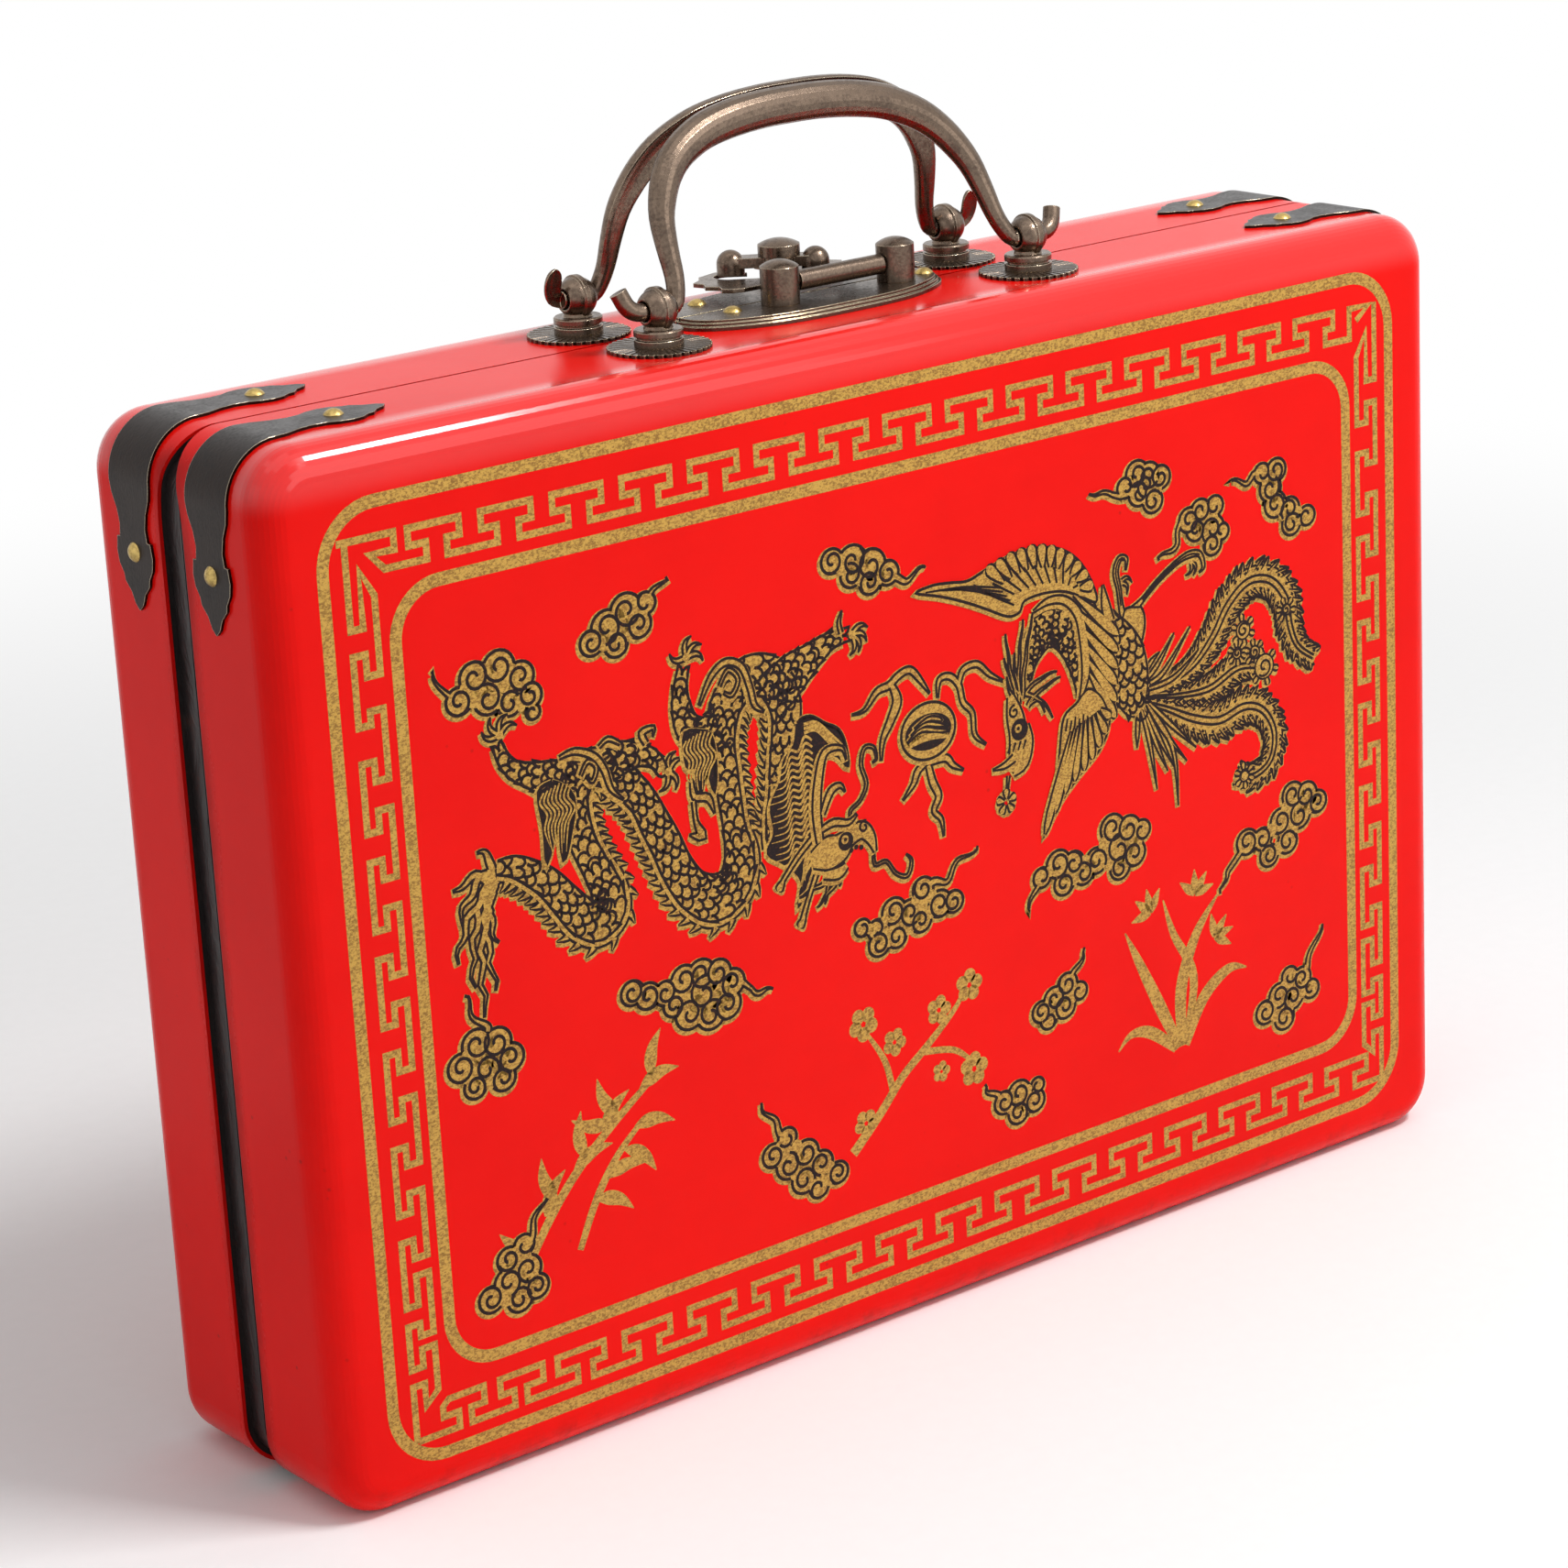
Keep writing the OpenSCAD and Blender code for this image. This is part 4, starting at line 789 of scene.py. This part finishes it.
# The bird: neck, body, two wings, legs, head and long plumes
bird = {
    "neck": [
        (30.5, 139, 3), (31.8, 145, 6), (36, 149.8, 8.5), (41, 149.5, 8.5), (44.6, 144.5, 6.5),
        (46.3, 138, 4), (46.6, 133, 2)],
    "body": [(50, 152, 4), (55, 147, 8), (60, 140, 11), (61.5, 133, 11.5), (63, 128, 8), (64.5, 125.5, 4)],
    "upperWing": [
        (0.6, 166), (5, 166.7), (10, 166.3), (15, 165.7), (20, 167), (28, 169), (36, 169), (43, 167),
        (48, 163), (51.5, 157), (52, 153.5), (47, 156), (42, 158), (36, 158.6), (31, 158), (29.5, 155.8),
        (26, 155.6), (20, 158.5), (14, 161.3), (7, 164)],
    "tips": [
        (20.5, 167.8), (23.5, 168.7), (26.8, 169.6), (30, 170), (33.3, 170.2), (36.5, 169.8), (39.5, 169),
        (42.4, 167.7), (45.2, 165.9), (47.8, 163.5), (49.9, 160.8), (51.4, 157.6)],
    "covertTips": [
        (22, 163.8), (25, 164.6), (28.2, 165.2), (31.2, 165.5), (34.2, 165.4), (37.2, 164.8), (40, 163.9),
        (42.6, 162.5), (44.8, 160.6), (46.8, 158.4)],
    "lowerWing": [
        (49, 134), (45.5, 131.5), (41.5, 129), (40, 122), (38.5, 112.5), (34.6, 103.2), (40, 110),
        (46, 115), (52, 119.5), (55, 125), (53, 131)],
    "lowerTips": [
        (34.7, 103.4), (37.8, 107.5), (41, 111.3), (44, 113.6), (47, 115.4), (49.6, 117.4), (52, 119.8),
        (54, 122.6), (55.4, 126)],
    "thinPlumes": [
        [(64, 127), (63.5, 121), (63.2, 117)], [(64.5, 127), (67, 118), (69, 106)],
        [(65, 127), (69, 117), (72.5, 109.5)], [(65.5, 127), (70, 118), (74.5, 110)],
        [(66, 127.5), (74, 115), (75.5, 100.5)], [(66, 127.5), (72, 118.5), (78.5, 110.5)],
        [(66, 128), (74, 120), (81.5, 113)], [(66, 131), (72, 133), (80.5, 142)],
        [(66, 132), (70, 135), (75.5, 141.5)], [(66, 130), (75, 131), (83, 136)],
        [(65.5, 133), (68, 136), (71, 138)]],
    "crest": (
        [(28.5, 135), (29.5, 136)],
        [(25.3, 151.8), (27.5, 147), (30.5, 154), (33.5, 155), (25, 142), (24.6, 146.5)]),
    "nape": (
        [(30.5, 137), (31, 134)],
        [(40, 140), (37, 137), (38.3, 129.8), (35.5, 134), (36, 131.5), (41, 138.5)]),
    "plumes": [
        [(65, 129.5, 3), (73, 130, 4.4), (81, 132.5, 6.5), (87.5, 138, 8), (92.5, 144.5, 8.5),
         (99, 148.6, 8.5), (106, 147.5, 8.5), (110.8, 142, 8.5), (112, 135.5, 7.5), (114.5, 130, 6),
         (120, 126, 5)],
        [(65, 127.5, 3), (73, 124, 5.5), (81, 120, 8.5), (89, 117.8, 9), (97, 119.3, 8.5),
         (103, 117, 7.5), (106.4, 111, 7), (105, 104.6, 6.5), (99.5, 102, 6), (94.5, 103.8, 4.5)],
        [(66, 128.5, 2.5), (76, 126.5, 4.5), (86, 126, 7), (95, 129, 7), (101.5, 128, 5)]],
    "knots": [
        (97, 137.5, 2.4), (95, 132.5, 1.6), (103.5, 127.5, 3.2), (100.5, 131.5, 1.8), (110.8, 139.5, 1.6),
        (96.5, 102.8, 1.7)],
    "legs": [
        [(60.5, 147, 2.4), (59.5, 151, 1.6), (59, 155, 1.6), (58.2, 159, 1.8), (59.5, 161.8, 1.6),
         (61.5, 161.4, 1.2), (61.2, 158.8, 0.5)],
        [(62, 148.5, 3), (66, 151, 1.4), (71, 154.5, 1.3), (77, 157.6, 1.4), (81, 158.6, 1.8),
         (84, 158, 1.5), (85, 155, 1.1), (83.5, 153.8, 0.4)]],
    "toes": [(59.6, 156.3, (10, -40)), (81.2, 157, (-60, -100))],
    "thigh": [
        (61, 150), (65.5, 149.5), (66.5, 145), (64, 140), (58, 142), (55, 148), (57, 150.5),
        (59.5, 147.5)],
    "shoulder": [(56, 148, 3), (54.8, 152.5, 2.6), (54.2, 157, 0.6)],
    "shawl": [
        (33.5, 155, 0.8), (38, 156.5, 1.9), (43, 155.6, 2.2), (46.8, 151.5, 2.6), (48.2, 145, 2.8),
        (48.4, 138, 2.6), (46.5, 132, 1)],
    "head": [
        (5, 12, 0.4,
         [(26, 137.5, 2.2), (27, 133, 4.8), (27.8, 128.5, 5.2), (27.8, 123.5, 5.8), (25.8, 120.2, 2.5)]),
        (4, 12, 0.35, [(30, 130, 2.4), (30.5, 126, 3.4), (29, 121.5, 3.4), (26, 119.3, 1.2)]),
        (4, 13, 0.35, [(26.5, 123.2, 2.2), (23.5, 122, 1.6), (20, 121.8, 0.4)]),
        (4, 9, 0.3, [(24.6, 119.5, 1.2), (24.2, 117, 0.9), (23.8, 115.5, 1.2)])],
    "eye": [("ink", 28.3, 129.3, 2.5), ("gold", 27.9, 129.6, 1.0), ("ink", 27.9, 129.6, 0.45)],
    "flower": (23.8, 113.6),
}


def makePlume(sheet, points):
    line = curve(points, 6)
    for k, ((x, z, w), along, side) in enumerate(walk(line, 1.9)):  # the serrated edge
        if w > 4:
            for way in (-1, 1):
                foot = Vector((x, z)) + side * way * w * 0.36
                tip = foot + side * way * w * 0.24 + along * (1.4 + 0.6 * (k % 3))
                sheet.form(sized((foot, (foot + tip) / 2, tip), 1.9, 1.4, 0.2), 0, 0.45)
                root = foot - side * way * w * 0.12 - along * 0.8
                middle = (root + tip) / 2 + side * way * 0.3
                sheet.stroke(4, "ink", sized((root, middle, tip), 0.3, 0.6, 0.3))
    sheet.form([(x, z, w * 0.8) for x, z, w in line], 0, 0.1)
    for way in (-0.09, 0.09):  # the shaft
        sheet.stroke(4, "ink", [(x + side.x * w * way, z + side.y * w * way, 0.65)
                                for (x, z, w), _, side in walk(line, 1.2)])
    for k, ((x, z, w), along, side) in enumerate(walk(line, 1.5)):  # short marks on either side
        if w > 3.4:
            way = 0.24 if k % 2 else -0.26
            start = Vector((x, z)) + side * w * way
            end = start + along * 0.8 + side * (0.3 if way > 0 else -0.3)
            sheet.stroke(4, "ink", sized((start, end), 0.8, 0.6))


def makeKnot(sheet, x, z, r):  # a dark leafy knot among the plumes
    sheet.discs(5, [("ink", x, z, r), ("gold", x, z, r - 0.5)])
    sheet.spiral(x, z, r * 0.75, 30 * x, 1.2, 7, 0.6)
    for a in range(0, 360, 60):
        out = Vector(bearing(a + x))
        sheet.petal(Vector((x, z)) + out * r * 0.5, Vector((x, z)) + out * (r + 1.6), 1.7, 2, 0.3)


def makeWings(sheet):
    sheet.fillForm(bird["upperWing"], 8)
    for x, z in bird["tips"]:
        root = (30 + (x - 20) * 0.42, 157.5 + (z - 157) * 0.12)
        sheet.petal((x + (root[0] - x) * 0.5, z + (root[1] - z) * 0.5), (x, z), 3.1, 11)
    for x, z in bird["covertTips"]:
        root = (32 + (x - 22) * 0.5, 157.8)
        sheet.stroke(15, "ink", [(x + (root[0] - x) * 0.62, z + (root[1] - z) * 0.62, 0.5), (x, z, 0.65)])
    for k in range(5):
        line = [(3 + 3.4 * k, 165.6 - 0.25 * k, 0.4), (14 + 2 * k, 164.6 - 0.9 * k, 0.6),
                (24 + k, 162.5 - 1.2 * k, 0.5)]
        sheet.stroke(15, "ink", curve(line, 5))
    sheet.fillForm(bird["lowerWing"], 8)
    for k, tip in enumerate(bird["lowerTips"]):
        sheet.petal((43.5 + 1.1 * k, 125.5 + 0.4 * k), tip, 2.5, 11)
    for k in range(6):
        sheet.stroke(15, "ink", [(42.5 + 1.2 * k, 128.6 - 0.7 * (k % 2), 0.5), (41.8 + 1.3 * k, 125.8, 0.6)])


def makeBirdHead(sheet):
    sheet.strands(*bird["crest"], 0.6, 1.3, 0.15, 9)
    sheet.strands(*bird["nape"], 1.0, 1.2, 0.15, 9)
    for steps, layer, rim, points in bird["head"]:
        sheet.brush(points, steps, layer, rim)
    flower = Vector(bird["flower"])
    for a in range(0, 360, 72):
        out = Vector(bearing(a + 18))
        sheet.petal(flower + out * 0.6, flower + out * 3, 2.1, 9)
    sheet.discs(16, bird["eye"])
    sheet.spiral(26.9, 133.6, 1.6, 80, 1.2, 16)
    for k in range(4):
        sheet.stroke(16, "ink", [(25.5 + 1.5 * k, 126.6, 0.7), (24.6 + 1.5 * k, 124.6, 0.4)])


def makeBird(sheet):
    for points in bird["plumes"][::-1]:
        makePlume(sheet, points)
    for points in bird["thinPlumes"]:
        sheet.brush(sized(points, 1.2, 1.5, 0.2), 6, 5, 0.3)
    for row in bird["knots"]:
        makeKnot(sheet, *row)
    sheet.disc(7, "gold", *bird["knots"][-1][:2], 0.9)
    for line in bird["legs"]:
        sheet.brush(line, 5, 4, 0.35)
        sheet.stroke(8, "ink", [(x, z, 0.5) for (x, z, _), *_ in walk(curve(line[1:6], 5), 1.0)])
    for row in bird["toes"]:
        sheet.claw(*row, 3.2, 1.2)
    sheet.fillForm(bird["thigh"], 4)
    sheet.scaled(bird["body"], layer=6)
    for k in range(6):  # shoulder feathers
        t = k / 5
        sheet.petal((45.5 + 4.0 * t, 156.5 - 19 * t), (58.5 - 1.5 * t, 144.5 - 19 * t), 3.1, 9)
    sheet.brush(bird["shoulder"], 4, 9, 0.35)
    sheet.scaled(bird["neck"], pitch=1.75, layer=6)
    sheet.brush(bird["shawl"], 5, 9, 0.35)
    makeWings(sheet)
    makeBirdHead(sheet)


# Clouds: lobes as (x, z, radius), then the tail
clouds = [
    ([(-118, 168, 3.2), (-114, 172, 3.6), (-108, 173, 3.8), (-103, 170, 3.4), (-101, 165.5, 3),
      (-111, 167, 3.6), (-106, 165, 3), (-100.5, 162, 1.8)],
     [(-118, 169, 1.8), (-121, 170.5, 1.2), (-124, 175, 0.3)]),
    ([(-85, 173, 3), (-81, 175.5, 4), (-76, 178, 4), (-79, 171.5, 3), (-73, 174.5, 3.2),
      (-71, 178.5, 2.6)],
     [(-71, 177, 1.8), (-68.5, 180, 1.2), (-65.5, 183, 0.3)]),
    ([(-22, 177.5, 3), (-16.5, 176.5, 3.8), (-11.5, 174.5, 4), (-12, 171, 3), (-7, 172, 3),
      (-17, 173.5, 3)],
     [(-7, 170.5, 2), (-3.5, 169.6, 1.6), (-1, 170.2, 1), (3.5, 171, 0.3)]),
    ([(62, 177.5, 2.6), (65.5, 180, 3.4), (69, 179, 3.4), (72.5, 178, 3), (66, 175.5, 3.2), (70, 173, 3),
      (68, 177, 3)],
     [(61, 176.8, 1.8), (57.5, 176, 1.3), (54.5, 178, 0.9), (51, 178.3, 0.3)]),
    ([(81, 166.5, 3.2), (84.5, 168, 3), (89, 168.3, 2.6), (88, 163, 3.8), (83, 164, 3), (88, 159.5, 2.8),
      (91, 162, 2.2)],
     [(79.5, 166.5, 1.6), (77.5, 164.5, 1.3), (75.5, 161, 1.2), (71.5, 159, 0.3)]),
    ([(104, 173, 2.6), (108.5, 173, 3), (106.5, 169, 3.4), (108, 165, 3.4), (112.5, 163, 3.2),
      (113, 159.5, 3), (118, 160.5, 2.6)],
     [(102, 173.5, 1.6), (99, 172, 1.2), (94, 173, 0.3)]),
    ([(-124, 92, 3.4), (-120, 96, 3.6), (-115, 95, 3.6), (-112, 91, 3.4), (-118, 90, 3.6), (-114, 87, 3),
      (-121, 87, 2.8)],
     [(-117, 98, 1.8), (-119.5, 102, 1.2), (-122, 107, 0.3)]),
    ([(-80.5, 96.5, 3), (-76.5, 94.8, 3.2), (-72, 94.2, 3), (-67, 96, 3.4), (-62.5, 96, 3.6),
      (-58, 95, 3.4), (-54.5, 92, 3.4), (-62, 91.5, 4.6), (-66, 88, 3.8), (-60.5, 86.5, 3.8),
      (-56, 87.5, 3.6), (-70, 91, 2.8)],
     [(-52, 91, 1.6), (-49, 90, 1.1), (-47, 87.6, 1.2), (-43.6, 87.6, 0.3)]),
    ([(-18.5, 95, 2.2), (-14.5, 93.5, 2.6), (-9.5, 96.5, 3.4), (-5, 95, 3.4), (-1, 99.5, 3),
      (3.5, 95, 3.4), (7.5, 94.5, 2.8), (-14, 90, 3), (-9, 90.5, 2.8), (-2, 92.5, 3)],
     [(0, 100, 2.2), (4.5, 99.8, 1.4), (9, 102.5, 1.1), (15, 105.6, 0.3)]),
    ([(33.5, 93.5, 2.6), (38.5, 95.5, 3.6), (43, 94.5, 3.2), (40, 90.5, 3), (46, 91.5, 3),
      (50, 93.5, 3.4), (55, 100, 3.6), (60, 98.5, 3.6), (64, 97.5, 2.6), (57, 94.5, 4.2),
      (61.5, 92.5, 3.4), (57, 90, 3)],
     [(33, 92, 1.6), (30.8, 90.5, 1.1), (29.4, 87, 0.3)]),
    ([(97, 86.5, 3.4), (102, 86, 3), (108, 89, 3.4), (112, 94.5, 3.4), (116.5, 93.5, 3.4), (120, 91, 3),
      (114, 89, 3.6), (104, 81.5, 3), (110, 83.5, 3.2)],
     [(95, 85, 1.6), (91, 81, 1.3), (88, 76, 0.3)]),
    ([(-121, 40, 3.2), (-116.5, 42.5, 3.6), (-111.5, 44, 3.4), (-114, 38, 3.2), (-109.5, 39.5, 3),
      (-116, 47.5, 3), (-112, 49.5, 2.6)],
     [(-112, 49, 1.8), (-109, 53, 1.3), (-106, 58, 0.3)]),
    ([(-46, 50, 3), (-42, 46.5, 3.4), (-37, 48, 3.4), (-33, 44.5, 3.2), (-38, 42, 3.4), (-28.5, 41, 2.8),
      (-42, 53, 2.6), (-34, 39, 2.6)],
     [(-43, 54, 1.8), (-46, 58, 1.2), (-48.5, 63, 0.3)]),
    ([(20, 43.5, 3), (24.5, 44.5, 3.4), (29, 41.5, 3), (24, 40, 3), (30, 45, 2)],
     [(18.5, 45, 1.6), (16, 47, 1.1), (14.5, 49.5, 0.3)]),
    ([(32, 62, 2.8), (36, 64, 3.2), (40, 66.5, 3), (39, 61.5, 3.2), (34, 59.5, 2.4), (43.5, 64, 2.4)],
     [(42, 67.5, 1.6), (43.5, 70.5, 1.1), (45.5, 74, 0.3)]),
    ([(102, 43, 3.2), (106.5, 46, 3.4), (111, 44.5, 3.4), (108, 40, 3.2), (114, 48.5, 3), (117, 45, 2.6),
      (110, 50, 2.6)],
     [(115, 51, 1.8), (118, 55, 1.2), (121.5, 60, 0.3)])]


def makeClouds(sheet):
    for k, (lobes, tail) in enumerate(clouds):
        sheet.puff(lobes, tail, 1 if k % 2 else -1)


# Plain brushed sprigs along the foot of the front face: bamboo, plum blossom and orchid.
# A leaf or a cup is (x, z, angle), and a blossom is (x, z, radius).
sprigs = {
    "canes": [
        [(-112, 43, 1.8), (-106, 52, 2.2), (-98, 61, 2.2), (-88, 69, 2), (-76, 77, 1.4)],
        [(-98, 44, 1.6), (-93, 54, 2), (-87, 62, 1.8), (-80, 68, 1.2)]],
    "leaves": [
        (-106, 54, 60), (-103, 57, 110), (-98, 62, 20), (-95, 64, 95), (-90, 68, 50), (-86, 71, 120),
        (-80, 75, 15), (-77, 77, 75), (-93, 54, -25), (-90, 58, 5), (-85, 63, -40), (-82, 67, -5),
        (-109, 48, 150), (-88, 70, 165)],
    "twigs": [
        [(-24, 44, 2.6), (-16, 51, 2.4), (-9, 58, 2.2), (-2, 63, 2), (7, 70, 1.4), (11, 76, 0.8)],
        [(-12, 55, 1.8), (-14, 63, 1.6), (-19, 71, 0.9)], [(-3, 62, 1.6), (6, 60, 1.5), (12, 55, 0.9)]],
    "blossoms": [
        (-19.5, 73, 4.2), (-11, 66.5, 3.4), (11, 74, 4), (2, 70.5, 3.6), (11.5, 54, 4.2), (-20, 50, 3.4),
        (2, 56, 2.6)],
    "blades": [
        [(74, 42, 2.6), (68, 54, 3.4), (62, 66, 2.4), (58, 74, 0.4)],
        [(75, 42, 2.8), (75, 56, 3.6), (80, 68, 2.8), (88, 77, 0.4)],
        [(76, 42, 2.6), (82, 52, 3.4), (90, 57, 2.6), (96, 56, 0.4)],
        [(73, 42, 2.4), (65, 48, 3), (59, 49, 1.8), (55, 46, 0.4)],
        [(76, 43, 2), (79, 58, 2.6), (73, 70, 2), (70, 79, 0.4)]],
    "cups": [(66, 77, 130), (86, 66, 40), (80, 78, 80)],
}


def makeSprigs(sheet):
    for line in sprigs["canes"] + sprigs["twigs"] + sprigs["blades"]:
        sheet.stroke(0, "gold", curve(line, 6))
    for x, z, turn in sprigs["leaves"]:
        out = Vector(bearing(turn))
        side = leftOf(out)
        line = [Vector((x, z)) + out * d + side * s for d, s in ((0, 0), (3, 0.8), (6.5, 0.9), (10.5, -0.4))]
        sheet.stroke(0, "gold", curve(sized(line, 0.8, 3.2, 2.6, 0.2), 5))
    for x, z, r in sprigs["blossoms"]:
        for a in range(0, 360, 72):
            outX, outZ = bearing(a + x)
            sheet.disc(0, "gold", x + r * 0.56 * outX, z + r * 0.56 * outZ, r * 0.42)
    for x, z, turn in sprigs["cups"]:
        for a in (-70, -30, 10, 60):
            out = Vector(bearing(turn + a))
            line = [Vector((x, z)) + out * d for d in (0, 2.5, 6)]
            sheet.stroke(0, "gold", curve(sized(line, 1.2, 2.4, 0.3), 4))


def makePrint():
    for name, draw, turned in (("frontBorder", makeBorder, False), ("rearBorder", makeBorder, True),
                               ("dragonPrint", makeDragon, False), ("pearlPrint", makePearl, False),
                               ("birdPrint", makeBird, False), ("cloudPrint", makeClouds, False),
                               ("sprigPrint", makeSprigs, False), ("rearClouds", makeClouds, True)):
        sheet = Sheet(name, turned)
        draw(sheet)
        sheet.done()


makePrint()
print("stage: print made")


floorPlan = {"half": 12, "fade": (0.25, 0.9), "pale": (0.93, 0.93, 0.93, 1), "dim": (0.9, 0.9, 0.9, 1),
             "rough": 0.8}
white = (1, 1, 1, 1)


def makeFloor():  # a pale floor that ends in white away from the case
    m = Maker("paleFloor")
    at = m.place()
    x, y, _ = m.split(at)
    far = (x * x + y * y).math("SQRT").ramp(*floorPlan["fade"])
    paint = m.blend(m.noise(at, 220, 3), floorPlan["pale"], floorPlan["dim"])
    plain = m.add("ShaderNodeBsdfPrincipled", None, {"Base Color": paint, "Roughness": floorPlan["rough"]})
    glow = m.add("ShaderNodeEmission", None, {"Color": white, "Strength": 1.0})
    mix = m.add("ShaderNodeMixShader", None, [m.seen() * far, plain, glow])
    m.add("ShaderNodeOutputMaterial", None, [mix])
    mesh = bpy.data.meshes.new("floor")
    s = floorPlan["half"]
    mesh.from_pydata([(-s, -s, 0), (s, -s, 0), (s, s, 0), (-s, s, 0)], [], [(0, 1, 2, 3)])
    floor = addObject("floor", mesh)
    mesh.materials.append(m.owner)


def makeWorld():  # white where it is seen, and a softer fill elsewhere
    m = Maker("studio", "worlds")
    bpy.context.scene.world = m.owner
    fill, back = [m.add("ShaderNodeBackground", None, {"Color": white, "Strength": strength})
                  for strength in (light["world"], 1.0)]
    mix = m.add("ShaderNodeMixShader", None, [m.seen(), fill, back])
    m.add("ShaderNodeOutputWorld", None, [mix])


makeFloor()
makeWorld()
bpy.context.scene.view_settings.view_transform = "Standard"
print("stage: floor and world made")
